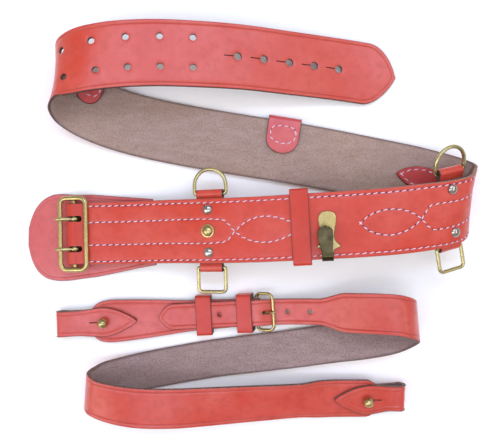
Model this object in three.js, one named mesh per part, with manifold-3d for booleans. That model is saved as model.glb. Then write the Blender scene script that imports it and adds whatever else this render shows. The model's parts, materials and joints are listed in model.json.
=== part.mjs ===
// A leather waist belt with a two-prong buckle, and its narrower shoulder strap, both laid out
// in a Z on a flat surface. Millimetres, +Z up, outer faces of the front stretches upwards.
import * as THREE from "three";
import { mergeVertices } from "three/addons/utils/BufferGeometryUtils.js";
import Module from "manifold-3d";

const wasm = await Module();
wasm.setup();

// Leather thicknesses, and the gap between pieces that touch
const PLY = 3;
const THIN_PLY = 2;
const PAD_PLY = 2.5;
const GAP = 0.32;

// Waist belt
const BELT_HALF = 28;
const FACE = PLY + GAP + PLY; // height of the stitched front's outer face above the suede
const FACING_LENGTH = 391;
const TIP_LENGTH = 29;
const FACING_TIP_LENGTH = 22;
const HOLE_COUNT = 5;
const PAIR_HOLES = { first: 757.3, pitch: 27.5, across: 12.7, up: 1, radius: 2.9 };
const SINGLE_HOLES = { first: 906, pitch: 23.6, radius: 3.4, slitLength: 9, slitWidth: 0.9 };
const INNER_PATCH = { from: 364, to: 415, half: 11, gap: 0.6 };

// Belt buckle, in the frame of the belt's first cross section: X along, Y across, Z outwards
const BUCKLE = { x: -13, z: 3.15, half: 12.5, halfTall: 32.3, corner: 6, lift: 3.9, tilt: 6.8 };
const BUCKLE_BAND = { wide: 2.2, high: 1.7, bar: 2.3 };
const FOLD = { inner: 3.6, outer: 6.6, slotFrom: -7.6, slotTo: 8.4, slotWidth: 5.4 };
const PRONG = { across: 13.6, ringInner: 2.6, ringOuter: 5.1, ringHalf: 2.2 };
const PRONG_ROWS = [
  { x: -1, z: 3.9, radius: 1.5 },
  { x: -5, z: 4.7, radius: 1.8 },
  { x: -10.5, z: 5.9, radius: 1.7 },
  { x: -14, z: 5.9, radius: 1.5 },
  { x: -16.2, z: 5.3, radius: 1 },
];

// Rings in their leather chapes, and what fastens the chapes
const CHAPE = { rollInner: 2, rollOuter: 4, start: 4, flapEnd: 13, clear: 0.4 };
const ROLL_V = BELT_HALF + CHAPE.clear + CHAPE.rollOuter;
const ROLL_H = -(GAP + THIN_PLY + GAP / 2);
const WIRE = 1.65;
const D_RING = { half: 14.4, leg: 7.5, corner: 2.2, chape: 24 };
const SQUARE_RING = { half: 12.5, length: 21.5, corner: 3.6, barCorner: 1.9, chape: 20.6 };
const RING_SEATS = [
  { side: "left", end: "top", s: 113, rivet: 18.6, drop: 0, shift: 0, swing: 0 },
  { side: "left", end: "bottom", s: 113, rivet: 18.6, drop: 0, shift: 0, swing: 0 },
  { side: "right", end: "top", s: 319, rivet: 20.8, drop: 5.8, shift: 9.4, swing: -12 },
  { side: "right", end: "bottom", s: 319, rivet: 16.6, drop: 4, shift: 2.2, swing: -8 },
];
const RIVET = { headGap: 0.5, head: 4.4, rise: 2.4, shank: 1.5, back: 3.2, backThick: 0.9 };
const BELT_STUD = { s: 113, head: 6, dome: 4.7, rim: 1.2, rise: 4.4, shank: 1.7, back: 3 };

// Leather tabs folded over the belt's top edge
const TAB_GAP = 0.8;
const TAB_INSET = 0.6;
const TABS = [
  { name: "brace_tab_middle", s: 523.3, half: 14.7, reach: 29.5 },
  { name: "brace_tab_end", s: 710, half: 13, reach: 26 },
];

// Keeper and hook on the belt's front
const BELT_KEEPER = { s: 192.5, width: 15.5, half: 30.4 };
const KEEPER_CORNER = 0.6;
const HOOK = { s: 214.5, thick: 1.6, bend: 3.8, bendV: -24.5, leafShift: -2 };
const HOOK_PLATE = [
  { v: 12, half: 2.4 },
  { v: 11, half: 4.9 },
  { v: 8.5, half: 6.8 },
  { v: 5, half: 7.3 },
  { v: 0, half: 6.6 },
  { v: -9.6, half: 5 },
  { v: -14, half: 6 },
  { v: -17.6, half: 9.2 },
  { v: -19.4, half: 6.4 },
  { v: -22, half: 4.9 },
];
const HOOK_LEAF = [
  { v: -21, rise: 0.2, half: 5.2 },
  { v: -12, rise: 0.9, half: 6 },
  { v: -5, rise: 1.9, half: 6.2 },
  { v: -2, rise: 2.4, half: 4.9 },
  { v: -0.8, rise: 2.6, half: 2.4 },
];

// Shoulder strap
const STRAP_HALF = 17.2;
const BILLET_HALF = 11.7;
const BILLET_POINT = 13;
const WIDENING = { from: 146, to: 172 };
const STRAP_END = { s: 823, length: 14, half: 11 };
const BILLET_HOLES = { first: 55.5, pitch: 20.9, radius: 2 };
const PRONG_HOLE = { length: 7.4, width: 3.2 };

// The short strap that carries the strap buckle, in a frame at the buckle's fixed bar
const SHORT = { x: 6.5, y: -84.2, turn: 3.9, thick: 2.2, mid: 6.5, fold: 2.9 };
const SHORT_ROWS = [
  { x: -152, z: 4.1, half: 11 },
  { x: -148, z: 4.1, half: 15.6 },
  { x: -143, z: 4.1, half: 18.2 },
  { x: -135, z: 4.1, half: 19.4 },
  { x: -121, z: 4.1, half: 19 },
  { x: -98, z: 4.1, half: 17.4 },
  { x: -61, z: 4.1, half: 14.2 },
  { x: -40, z: 4.3, half: 13.4 },
  { x: -20, z: 5.8, half: 12.8 },
  { x: -10, z: 6.2, half: 12.6 },
  { x: -5, z: 7.4, half: 12.4 },
];
const SHORT_RETURN = { z: 3.6, end: -16, half: 12.2 };
const STRAP_BUCKLE = { length: 16.4, half: 16.6, corner: 5.5, heel: 4, tilt: 28 };
const STRAP_BAR = 1.5;
const STRAP_PRONG = { ringInner: 1.8, ringOuter: 3.4, ringHalf: 1.5, slotWidth: 4.2 };
const STRAP_PRONG_ROWS = [
  { x: 2, z: 1.9, radius: 1 },
  { x: 6, z: 4, radius: 1.2 },
  { x: 10.5, z: 7.6, radius: 1.2 },
  { x: 13.6, z: 10.9, radius: 1.1 },
  { x: 15.6, z: 11.4, radius: 0.8 },
];
const STRAP_KEEPERS = [
  { name: "strap_keeper_left", s: 41.2, half: 16.2, under: 2.4 },
  { name: "strap_keeper_right", s: 78.5, half: 15.4, under: 2.2 },
];
const STRAP_KEEPER_WIDTH = 14.4;

// End loops of the shoulder strap: a pointed tongue buttoned on a stud. x runs from the stud
// towards the tongue's point, h from the carrying strap's lower face
const LOOP_THICK = 2.5;
const TONGUE_ROWS = [
  { x: 29.5, half: 0.8 },
  { x: 26, half: 3.6 },
  { x: 20, half: 7 },
  { x: 12, half: 10.6 },
  { x: 4, half: 12.8 },
  { x: -2, half: 13.3 },
  { x: -9, half: 12.7 },
];
const LOOP = { half: 11.4, bulge: 4.1, lean: 0.06, legHalf: 11, legEnd: 12 };
const KEYHOLE = { radius: 2.5, slitFrom: -13.5, slitWidth: 1 };
const STRAP_STUD = { ball: 4.6, ballAbove: 4.4, neck: 2, collar: 3.2 };
const LEFT_LOOP = { studX: -140, turn: -1.6, reach: 43.5 };
const RIGHT_LOOP_REACH = 35;

// Stations of a strap: the middle of its suede side, then the direction across it, as a turn
// about Z (yaw) and a rise towards its far end (pitch), in degrees
const BELT_STATIONS = [
  { x: -146, y: -12.8, z: 7.2, yaw: -2, pitch: 0 },
  { x: -110, y: -12.0, z: 9.6, yaw: -2, pitch: 0 },
  { x: -70, y: -10.6, z: 17, yaw: -1.5, pitch: 0 },
  { x: -30, y: -9.7, z: 27, yaw: -1.5, pitch: 0 },
  { x: 10, y: -8.2, z: 35, yaw: -2.5, pitch: 0 },
  { x: 50, y: -5.9, z: 41, yaw: -3.5, pitch: 0 },
  { x: 90, y: -3.5, z: 44.5, yaw: -4, pitch: 1 },
  { x: 122, y: -0.8, z: 45.8, yaw: -5.5, pitch: 3 },
  { x: 148, y: 2.6, z: 45.6, yaw: -6, pitch: 7 },
  { x: 163, y: 5.0, z: 43.6, yaw: -5, pitch: 11 },
  { x: 175, y: 8.2, z: 39.6, yaw: -4, pitch: 15.5 },
  { x: 183, y: 12.6, z: 33.8, yaw: -1.5, pitch: 18.5 },
  { x: 186.5, y: 17.8, z: 26.8, yaw: -0.5, pitch: 17 },
  { x: 186.2, y: 22.8, z: 20, yaw: 1, pitch: 13 },
  { x: 180.2, y: 28.2, z: 14, yaw: 8, pitch: 6 },
  { x: 163, y: 34.8, z: 9, yaw: 13, pitch: 1 },
  { x: 146, y: 39.8, z: 6.4, yaw: 12.5, pitch: 0 },
  { x: 115, y: 46.6, z: 4.2, yaw: 11.5, pitch: 0 },
  { x: 75, y: 54.6, z: 4.4, yaw: 10, pitch: 0 },
  { x: 36, y: 61.4, z: 5.7, yaw: 9.5, pitch: 0 },
  { x: -10, y: 68.7, z: 5, yaw: 9.5, pitch: 0 },
  { x: -60, y: 77.4, z: 3.6, yaw: 10.5, pitch: 0 },
  { x: -100, y: 85.8, z: 4, yaw: 12, pitch: 0 },
  { x: -127, y: 93.6, z: 6.2, yaw: 15, pitch: -1 },
  { x: -146, y: 101.6, z: 9.6, yaw: 17, pitch: -2 },
  { x: -158.6, y: 110.2, z: 15, yaw: 13, pitch: -9 },
  { x: -166, y: 119.6, z: 26.5, yaw: 2, pitch: -18 },
  { x: -162.5, y: 127.6, z: 38, yaw: -3, pitch: -16 },
  { x: -146, y: 132.6, z: 45, yaw: -8, pitch: -8 },
  { x: -120, y: 137.2, z: 46, yaw: -6, pitch: -2 },
  { x: -85, y: 140, z: 44, yaw: -2, pitch: 0 },
  { x: -42, y: 140.6, z: 38, yaw: 0, pitch: 0 },
  { x: -4, y: 140.9, z: 28, yaw: 1, pitch: 0 },
  { x: 35, y: 139.2, z: 17.5, yaw: 2, pitch: 0 },
  { x: 77, y: 136.9, z: 7, yaw: 3.5, pitch: 0 },
  { x: 105, y: 134, z: 2.6, yaw: 6, pitch: 0 },
  { x: 133.5, y: 130.2, z: 0.3, yaw: 9, pitch: 0 },
];

const PAD_STATIONS = [
  { x: -204, y: -15.8, z: 0.1, yaw: 0, pitch: 0 },
  { x: -170, y: -16.6, z: 0.1, yaw: 0, pitch: 0 },
  { x: -148, y: -15.3, z: 0.2, yaw: 0, pitch: 0 },
  { x: -125, y: -13.8, z: 1.4, yaw: -1, pitch: 0 },
  { x: -105, y: -12.4, z: 6, yaw: -1.5, pitch: 0 },
  { x: -84, y: -11.2, z: 10.8, yaw: -1.5, pitch: 0 },
];
const PAD_ROWS = [
  { s: 0, half: 9 },
  { s: 2.5, half: 18.5 },
  { s: 6, half: 26.5 },
  { s: 12, half: 34 },
  { s: 20, half: 38.6 },
  { s: 30, half: 40 },
  { s: 47, half: 38.8 },
  { s: 61, half: 37.9 },
  { s: 76, half: 35.9 },
  { s: 90, half: 33.9 },
  { s: 104, half: 31.9 },
  { s: 119, half: 30 },
];

const STRAP_STATIONS = [
  { x: -83, y: -89.4, z: 5.8, yaw: -3, pitch: 0 },
  { x: -52, y: -87.8, z: 5.9, yaw: -3, pitch: 0 },
  { x: -24, y: -86.2, z: 7.4, yaw: -3, pitch: 0 },
  { x: -6, y: -85.2, z: 9, yaw: -3, pitch: 0 },
  { x: 6.5, y: -84.4, z: 11.2, yaw: -3, pitch: 0 },
  { x: 20.8, y: -83.8, z: 8.7, yaw: -2, pitch: 0 },
  { x: 34, y: -83.2, z: 10.2, yaw: -2, pitch: 0 },
  { x: 50, y: -82.4, z: 14.5, yaw: -2, pitch: 0 },
  { x: 70, y: -81.8, z: 21, yaw: -1, pitch: 0 },
  { x: 92, y: -81, z: 31, yaw: 0, pitch: -2 },
  { x: 111, y: -80.4, z: 39, yaw: 3, pitch: -6 },
  { x: 127, y: -81.6, z: 41.5, yaw: 8, pitch: -14 },
  { x: 138.5, y: -85.4, z: 37, yaw: 9, pitch: -22 },
  { x: 144, y: -91, z: 26, yaw: 2, pitch: -28 },
  { x: 138, y: -98.5, z: 15.5, yaw: 2, pitch: -26 },
  { x: 125, y: -104.5, z: 11.4, yaw: 6, pitch: -22 },
  { x: 104, y: -108.8, z: 10, yaw: 9, pitch: -19 },
  { x: 76, y: -112.6, z: 8.4, yaw: 9, pitch: -15 },
  { x: 41, y: -117.9, z: 6.4, yaw: 8, pitch: -9 },
  { x: 5, y: -122.9, z: 4.4, yaw: 8, pitch: -3 },
  { x: -30, y: -127.6, z: 3.2, yaw: 8.5, pitch: 0 },
  { x: -64, y: -133.2, z: 3.3, yaw: 10, pitch: 0 },
  { x: -92, y: -138.4, z: 3.9, yaw: 11, pitch: 1 },
  { x: -116, y: -143, z: 6.2, yaw: 12, pitch: 6 },
  { x: -135, y: -146.4, z: 11.8, yaw: 12, pitch: 14 },
  { x: -142.2, y: -149.4, z: 22, yaw: 9, pitch: 21 },
  { x: -137, y: -152.6, z: 31.6, yaw: 18, pitch: 18 },
  { x: -122, y: -157, z: 35, yaw: 20, pitch: 9 },
  { x: -98, y: -161.6, z: 34.2, yaw: 8, pitch: 2 },
  { x: -67, y: -163.4, z: 31, yaw: -1, pitch: 2 },
  { x: -37, y: -163.4, z: 26, yaw: -2, pitch: 6 },
  { x: 0, y: -162.9, z: 20, yaw: -2, pitch: 12 },
  { x: 45, y: -162.2, z: 13.5, yaw: -2, pitch: 17 },
  { x: 62, y: -162, z: 10.4, yaw: -1, pitch: 7 },
  { x: 78, y: -162, z: 8.6, yaw: 0, pitch: 5 },
  { x: 100, y: -162.3, z: 7.5, yaw: 0, pitch: 5 },
  { x: 122, y: -162.6, z: 6.4, yaw: 0, pitch: 5 },
  { x: 146, y: -162.9, z: 5.2, yaw: 0, pitch: 5 },
];

const LEATHER = { color: 0xd4483c, roughness: 0.35, metalness: 0 };
const BRASS = { color: 0xb59a45, roughness: 0.3, metalness: 1 };
const NICKEL = { color: 0xc9c9c4, roughness: 0.2, metalness: 1 };

const DEGREE = Math.PI / 180;
const ROW_TURN = 8 * DEGREE; // a strap gets a row of points where it has turned this far
const ROW_REACH = 18; // or after this length
const ROW_LEAST = 2.5;
const SAMPLES_PER_STATION = 40;
const EDGE_BEVEL = 0.7;

// A strap's course: a smooth line through the stations, with the direction across it.
class Course {
  constructor(stations) {
    this.line = new THREE.CatmullRomCurve3(
      stations.map((a) => new THREE.Vector3(a.x, a.y, a.z)),
    );
    this.lean = new THREE.SplineCurve(stations.map((a) => new THREE.Vector2(a.yaw, a.pitch)));
    this.steps = (stations.length - 1) * SAMPLES_PER_STATION;
    this.reach = [0];
    let before = this.line.getPoint(0);
    for (let i = 1; i <= this.steps; i++) {
      const here = this.line.getPoint(i / this.steps);
      this.reach.push(this.reach[i - 1] + here.distanceTo(before));
      before = here;
    }
    this.length = this.reach[this.steps];
  }

  // The place and the three directions at a length s along the strap.
  frame(s) {
    const wanted = THREE.MathUtils.clamp(s, 0, this.length);
    let low = 0;
    let high = this.steps;
    while (high - low > 1) {
      const middle = (low + high) >> 1;
      if (this.reach[middle] > wanted) high = middle;
      else low = middle;
    }
    const share = (wanted - this.reach[low]) / (this.reach[high] - this.reach[low]);
    const t = (low + share) / this.steps;
    const along = this.line.getTangent(t);
    const lean = this.lean.getPoint(t);
    const flat = Math.cos(lean.y * DEGREE);
    const across = new THREE.Vector3(
      Math.sin(lean.x * DEGREE) * flat,
      Math.cos(lean.x * DEGREE) * flat,
      Math.sin(lean.y * DEGREE),
    );
    across.addScaledVector(along, -across.dot(along)).normalize();
    const outward = along.clone().cross(across);
    return { place: this.line.getPoint(t), along, across, outward };
  }

  // The point at length s, v across and h above the suede side.
  point(s, v, h) {
    const f = this.frame(s);
    return f.place.addScaledVector(f.across, v).addScaledVector(f.outward, h);
  }

  // A straight local frame at s: X along, Y across, Z outwards.
  matrix(s) {
    const f = this.frame(s);
    return new THREE.Matrix4().makeBasis(f.along, f.across, f.outward).setPosition(f.place);
  }

  // Lengths from one end to the other at which a strap needs a row of points.
  rows(from, to) {
    const found = [from];
    let along = this.frame(from).along;
    for (let s = from; s < to - ROW_LEAST; s += 1) {
      const now = this.frame(s).along;
      const since = s - found[found.length - 1];
      if (since < ROW_LEAST || (now.angleTo(along) < ROW_TURN && since < ROW_REACH)) continue;
      found.push(s);
      along = now;
    }
    return [...found, to];
  }
}

// A closed skin over rings of points. The end rings are capped by the triangles given; without
// them the last ring meets the first.
function skin(rings, cap) {
  const n = rings[0].length;
  const index = [];
  for (let i = 0; i < (cap ? rings.length - 1 : rings.length); i++) {
    const a = i * n;
    const b = ((i + 1) % rings.length) * n;
    for (let j = 0; j < n; j++) {
      const k = (j + 1) % n;
      index.push(a + j, a + k, b + k, a + j, b + k, b + j);
    }
  }
  if (cap) {
    const end = (rings.length - 1) * n;
    for (const [p, q, r] of cap) index.push(r, q, p, end + p, end + q, end + r);
  }
  const made = new THREE.BufferGeometry().setFromPoints(rings.flat());
  made.setIndex(index);
  return facingOut(made);
}

const fan = (n) => Array.from({ length: n - 2 }, (_, i) => [0, i + 1, i + 2]);

// Turns a skin round where its faces point inwards.
function facingOut(geometry) {
  const place = geometry.getAttribute("position");
  const order = geometry.getIndex().array;
  const corners = [0, 1, 2].map(() => new THREE.Vector3());
  let volume = 0;
  for (let i = 0; i < order.length; i += 3) {
    corners.forEach((c, j) => c.fromBufferAttribute(place, order[i + j]));
    volume += corners[0].dot(corners[1].cross(corners[2]));
  }
  for (let i = 0; volume < 0 && i < order.length; i += 3) {
    [order[i + 1], order[i + 2]] = [order[i + 2], order[i + 1]];
  }
  return geometry;
}

// A flat strap on a course, its outer face's edges bevelled: rows of { s, half } give its
// width, bottom and top its two faces.
function strap(course, rows, bottom, top) {
  const rings = rows.map(({ s, half }) => {
    const bevel = Math.min(EDGE_BEVEL, half / 2);
    const section = [
      [-half, bottom],
      [half, bottom],
      [half, top - bevel],
      [half - bevel, top],
      [bevel - half, top],
      [-half, top - bevel],
    ];
    return section.map(([v, h]) => course.point(s, v, h));
  });
  return skin(rings, fan(6));
}

// Share of the full width left at t, from 0 at a point's shoulder to 1 at its end.
const pointShare = (t) => Math.max((1 - t * t) ** 0.8, 0.04);
const POINT_STEPS = [0, 0.25, 0.45, 0.62, 0.76, 0.87, 0.95, 1];

// Rows of a strap of one width that ends in a point.
function pointedRows(course, from, to, half, pointLength) {
  const shoulderAt = to - pointLength;
  const body = course.rows(from, shoulderAt).slice(0, -1);
  return [
    ...body.map((s) => ({ s, half })),
    ...POINT_STEPS.map((t) => ({ s: shoulderAt + t * pointLength, half: half * pointShare(t) })),
  ];
}

// A strip of one thickness bent in one plane: rows of { x, z, half } give the middle of its
// thickness and its half width, and at(x, y, z) places a point. It has n points across.
function bentStrip(rows, thick, at, n = 2) {
  const steps = Array.from({ length: n }, (_, j) => (2 * j) / (n - 1) - 1);
  const rings = rows.map(({ x, z, half, shift = 0 }, i) => {
    const before = rows[Math.max(i - 1, 0)];
    const after = rows[Math.min(i + 1, rows.length - 1)];
    const way = new THREE.Vector2(after.x - before.x, after.z - before.z).normalize();
    const face = (up) =>
      steps.map((t) => at(x - way.y * up, shift + t * half, z + way.x * up));
    return [...face(thick / 2), ...face(-thick / 2).reverse()];
  });
  const cap = steps.slice(1).flatMap((_, j) => {
    const under = 2 * n - 1 - j;
    return [[j, j + 1, under - 1], [j, under - 1, under]];
  });
  return skin(rings, cap);
}

// Rows of a bent strip on an arc, the angles in degrees.
function arcRows(x, z, radius, from, to, steps, half, shift = 0) {
  return Array.from({ length: steps + 1 }, (_, i) => {
    const a = (from + ((to - from) * i) / steps) * DEGREE;
    return { x: x + radius * Math.cos(a), z: z + radius * Math.sin(a), half, shift };
  });
}

function arcPoints(x, y, radius, from, to, steps) {
  return arcRows(x, y, radius, from, to, steps, 0).map((row) => new THREE.Vector2(row.x, row.z));
}

// A bar bent into a closed outline in the local XY plane.
function loopBar(outline, wide, high, sides) {
  const n = outline.length;
  const rings = outline.map((p, i) => {
    const way = outline[(i + 1) % n].clone().sub(outline[(i + n - 1) % n]).normalize();
    return Array.from({ length: sides }, (_, j) => {
      const a = ((j + 0.5) / sides) * 2 * Math.PI;
      const out = wide * Math.cos(a);
      return new THREE.Vector3(p.x + way.y * out, p.y - way.x * out, high * Math.sin(a));
    });
  });
  return skin(rings, null);
}

// A round bar in the local XZ plane: rows of { x, z, radius }.
function taperedBar(rows, sides) {
  const rings = rows.map(({ x, z, radius }, i) => {
    const before = rows[Math.max(i - 1, 0)];
    const after = rows[Math.min(i + 1, rows.length - 1)];
    const way = new THREE.Vector2(after.x - before.x, after.z - before.z).normalize();
    return Array.from({ length: sides }, (_, j) => {
      const a = ((j + 0.5) / sides) * 2 * Math.PI;
      const out = radius * Math.cos(a);
      return new THREE.Vector3(x - way.y * out, radius * Math.sin(a), z + way.x * out);
    });
  });
  return skin(rings, fan(sides));
}

// Outline of a rectangle with round corners, counterclockwise from its lower right corner.
function roundedRectangle(x0, x1, y0, y1, corner, steps) {
  const at = (x, y, from) => arcPoints(x, y, corner, from, from + 90, steps);
  return [
    ...at(x1 - corner, y0 + corner, -90),
    ...at(x1 - corner, y1 - corner, 0),
    ...at(x0 + corner, y1 - corner, 90),
    ...at(x0 + corner, y0 + corner, 180),
  ];
}

function solidOf(geometry) {
  const bare = geometry.clone();
  bare.deleteAttribute("normal");
  bare.deleteAttribute("uv");
  const merged = mergeVertices(bare, 1e-4);
  return new wasm.Manifold(
    new wasm.Mesh({
      numProp: 3,
      vertProperties: merged.getAttribute("position").array,
      triVerts: new Uint32Array(merged.getIndex().array),
    }),
  );
}

function geometryOf(solid) {
  const mesh = solid.getMesh();
  const made = new THREE.BufferGeometry();
  made.setAttribute("position", new THREE.BufferAttribute(mesh.vertProperties, 3));
  made.setIndex(new THREE.BufferAttribute(mesh.triVerts, 1));
  return made;
}

const cut = (geometry, tools) =>
  geometryOf(tools.reduce((left, tool) => left.subtract(solidOf(tool)), solidOf(geometry)));

const join = (pieces) =>
  geometryOf(pieces.map(solidOf).reduce((whole, piece) => whole.add(piece)));

// A drill upwards through z0 to z1 at x and y.
function drill(x, y, radius, z0, z1, sides = 8) {
  const tool = new THREE.CylinderGeometry(radius, radius, z1 - z0, sides);
  return tool.rotateX(Math.PI / 2).translate(x, y, (z0 + z1) / 2);
}

// A box between two corners.
function box(x0, x1, y0, y1, z0, z1) {
  const made = new THREE.BoxGeometry(x1 - x0, y1 - y0, z1 - z0);
  return made.translate((x0 + x1) / 2, (y0 + y1) / 2, (z0 + z1) / 2);
}

// A turned piece about the local Z axis: points of { x: radius, y: height }.
const turned = (points, sides) => new THREE.LatheGeometry(points, sides).rotateX(Math.PI / 2);

const v2 = (x, y) => new THREE.Vector2(x, y);

const model = new THREE.Group();

function add(name, look, geometry, matrix) {
  geometry.computeVertexNormals();
  const mesh = new THREE.Mesh(geometry, new THREE.MeshStandardMaterial({ name, ...look }));
  mesh.name = name;
  if (matrix) matrix.decompose(mesh.position, mesh.quaternion, mesh.scale);
  model.add(mesh);
}

const belt = new Course(BELT_STATIONS);
const padCourse = new Course(PAD_STATIONS);
const shoulder = new Course(STRAP_STATIONS);

// Where a ring's rivet goes across the belt.
const rivetAcross = ({ end, rivet }) => (end === "top" ? rivet : -rivet);

// The fixings through the belt's front: [s, v, shank radius].
function frontFixings() {
  return [
    ...RING_SEATS.map((seat) => [seat.s, rivetAcross(seat), RIVET.shank]),
    [BELT_STUD.s, 0, BELT_STUD.shank],
  ];
}

function addBeltLeather() {
  const through = (s, tool) => tool.applyMatrix4(belt.matrix(s));
  const holes = [];
  for (let i = 0; i < HOLE_COUNT; i++) {
    const pair = PAIR_HOLES.first + i * PAIR_HOLES.pitch;
    for (const side of [-1, 1]) {
      const v = PAIR_HOLES.up + side * PAIR_HOLES.across;
      holes.push(through(pair, drill(0, v, PAIR_HOLES.radius, -1, PLY + 1)));
    }
    const single = SINGLE_HOLES.first + i * SINGLE_HOLES.pitch;
    const { radius, slitLength, slitWidth } = SINGLE_HOLES;
    const slit = box(-radius - slitLength, 0, -slitWidth / 2, slitWidth / 2, -1, PLY + 1);
    holes.push(through(single, drill(0, 0, radius, -1, PLY + 1)), through(single, slit));
  }
  const fixings = frontFixings().map(([s, v, radius]) =>
    through(s, drill(0, v, radius + GAP, -1, FACE + 1)),
  );
  const outer = pointedRows(belt, 0, FACING_LENGTH, BELT_HALF, FACING_TIP_LENGTH);
  // The inner ply has the facing's rows too, so that the two lie on each other in the bend.
  const inner = [
    ...outer.map(({ s }) => ({ s, half: BELT_HALF })),
    ...pointedRows(belt, FACING_LENGTH, belt.length, BELT_HALF, TIP_LENGTH).slice(1),
  ];
  add("belt_strap", LEATHER, cut(strap(belt, inner, 0, PLY), [...holes, ...fixings]));
  add("belt_facing", LEATHER, cut(strap(belt, outer, PLY + GAP, FACE), fixings));
  add("buckle_pad", LEATHER, strap(padCourse, PAD_ROWS, 0, PAD_PLY));
  const { from, to, half, gap } = INNER_PATCH;
  const leaf = [-1, -0.85, -0.6, -0.3, 0, 0.3, 0.6, 0.85, 1].map((t) => ({
    s: from + ((t + 1) / 2) * (to - from),
    half: half * pointShare(Math.abs(t)),
  }));
  add("inner_patch", LEATHER, strap(belt, leaf, -gap - THIN_PLY, -gap));
}

// The leather fold round the buckle's middle bar, two slots let the prongs through.
function addBuckleFold() {
  const { x, z } = BUCKLE;
  const lip = -GAP;
  const outline = [
    v2(lip, 0),
    ...arcPoints(x, z, FOLD.outer, 300, 60, 12),
    v2(lip, FACE),
    v2(lip, PLY + GAP),
    ...arcPoints(x, z, FOLD.inner, 38, 322, 12),
    v2(lip, PLY),
  ];
  const width = 2 * BELT_HALF - 1;
  const body = new THREE.ExtrudeGeometry(new THREE.Shape(outline), {
    depth: width,
    bevelEnabled: false,
  });
  body.translate(0, 0, -width / 2).rotateX(Math.PI / 2);
  body.deleteAttribute("uv");
  const slots = [-PRONG.across, PRONG.across].map((y) => {
    const side = FOLD.slotWidth / 2;
    return box(x + FOLD.slotFrom, x + FOLD.slotTo, y - side, y + side, z - 9, z + 9);
  });
  add("buckle_fold", LEATHER, cut(mergeVertices(body, 1e-4), slots), belt.matrix(0));
}

function addBeltBuckle() {
  const { x, z, half, halfTall, corner, lift, tilt } = BUCKLE;
  const { wide, high, bar } = BUCKLE_BAND;
  const outline = roundedRectangle(-half, half, -halfTall, halfTall, corner, 4);
  const band = loopBar(outline, wide, high, 8).rotateY(-tilt * DEGREE).translate(0, 0, lift);
  const middle = new THREE.CylinderGeometry(bar, bar, 2 * halfTall, 10);
  const posts = [-halfTall, halfTall].map((y) => drill(0, y, bar, -bar, lift, 10));
  const seat = belt.matrix(0).multiply(new THREE.Matrix4().makeTranslation(x, 0, z));
  add("buckle_frame", BRASS, join([band, middle, ...posts]), seat);
  const { across, ringInner, ringOuter, ringHalf } = PRONG;
  const ringMiddle = arcPoints(0, 0, (ringInner + ringOuter) / 2, 0, 330, 11);
  for (const [name, y] of [["upper", across], ["lower", -across]]) {
    const ring = loopBar(ringMiddle, (ringOuter - ringInner) / 2, ringHalf, 6).rotateX(Math.PI / 2);
    const place = seat.clone().multiply(new THREE.Matrix4().makeTranslation(0, y, 0));
    add("buckle_prong_" + name, BRASS, join([ring, taperedBar(PRONG_ROWS, 6)]), place);
  }
}

// A chape's section: a strip behind the belt whose end is rolled round a ring's bar. Points
// are { x: outwards from the belt's middle, y: height }.
function chapeOutline() {
  const { rollInner, rollOuter, start, flapEnd } = CHAPE;
  const front = -GAP;
  const back = -GAP - THIN_PLY;
  const flapFront = back - GAP;
  const flapBack = flapFront - THIN_PLY;
  const meet = Math.asin((front - ROLL_H) / rollOuter) / DEGREE;
  return [
    v2(start, back),
    v2(start, front),
    ...arcPoints(ROLL_V, ROLL_H, rollOuter, 180 - meet, meet - 180, 12),
    v2(flapEnd, flapBack),
    v2(flapEnd, flapFront),
    ...arcPoints(ROLL_V, ROLL_H, rollInner, -176, 176, 12),
  ];
}

function addRings() {
  const { half, leg, corner } = D_RING;
  const dOutline = [
    ...arcPoints(half - corner, corner, corner, -90, 0, 3),
    ...arcPoints(0, leg, half, 0, 180, 14),
    ...arcPoints(corner - half, corner, corner, 180, 270, 3),
  ];
  const { half: squareHalf, length, corner: far, barCorner: near } = SQUARE_RING;
  const square = [
    ...arcPoints(squareHalf - near, near, near, -90, 0, 3),
    ...arcPoints(squareHalf - far, length - far, far, 0, 90, 3),
    ...arcPoints(far - squareHalf, length - far, far, 90, 180, 3),
    ...arcPoints(near - squareHalf, near, near, 180, 270, 3),
  ];
  const kinds = {
    top: { ring: "d_ring_", turn: 0, wide: D_RING.chape, outline: dOutline },
    bottom: { ring: "square_ring_", turn: Math.PI, wide: SQUARE_RING.chape, outline: square },
  };
  for (const { side, end, s, rivet, drop, shift, swing } of RING_SEATS) {
    const { ring, turn, wide, outline } = kinds[end];
    const seat = belt.matrix(s)
      .multiply(new THREE.Matrix4().makeTranslation(shift, 0, -drop))
      .multiply(new THREE.Matrix4().makeRotationZ(turn));
    const rolled = new THREE.ExtrudeGeometry(new THREE.Shape(chapeOutline()), {
      depth: wide,
      bevelEnabled: false,
    });
    rolled.deleteAttribute("uv");
    rolled.translate(0, 0, -wide / 2).rotateY(Math.PI / 2).rotateX(Math.PI / 2);
    const hole = drill(turn ? shift : -shift, rivet, RIVET.shank + GAP, -8, 2);
    add(`ring_chape_${side}_${end}`, LEATHER, cut(mergeVertices(rolled, 1e-4), [hole]), seat);
    const bar = seat.multiply(new THREE.Matrix4().makeTranslation(0, ROLL_V, ROLL_H))
      .multiply(new THREE.Matrix4().makeRotationX(-swing * DEGREE));
    add(ring + side, BRASS, loopBar(outline, WIRE, WIRE, 6), bar);
  }
}

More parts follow.
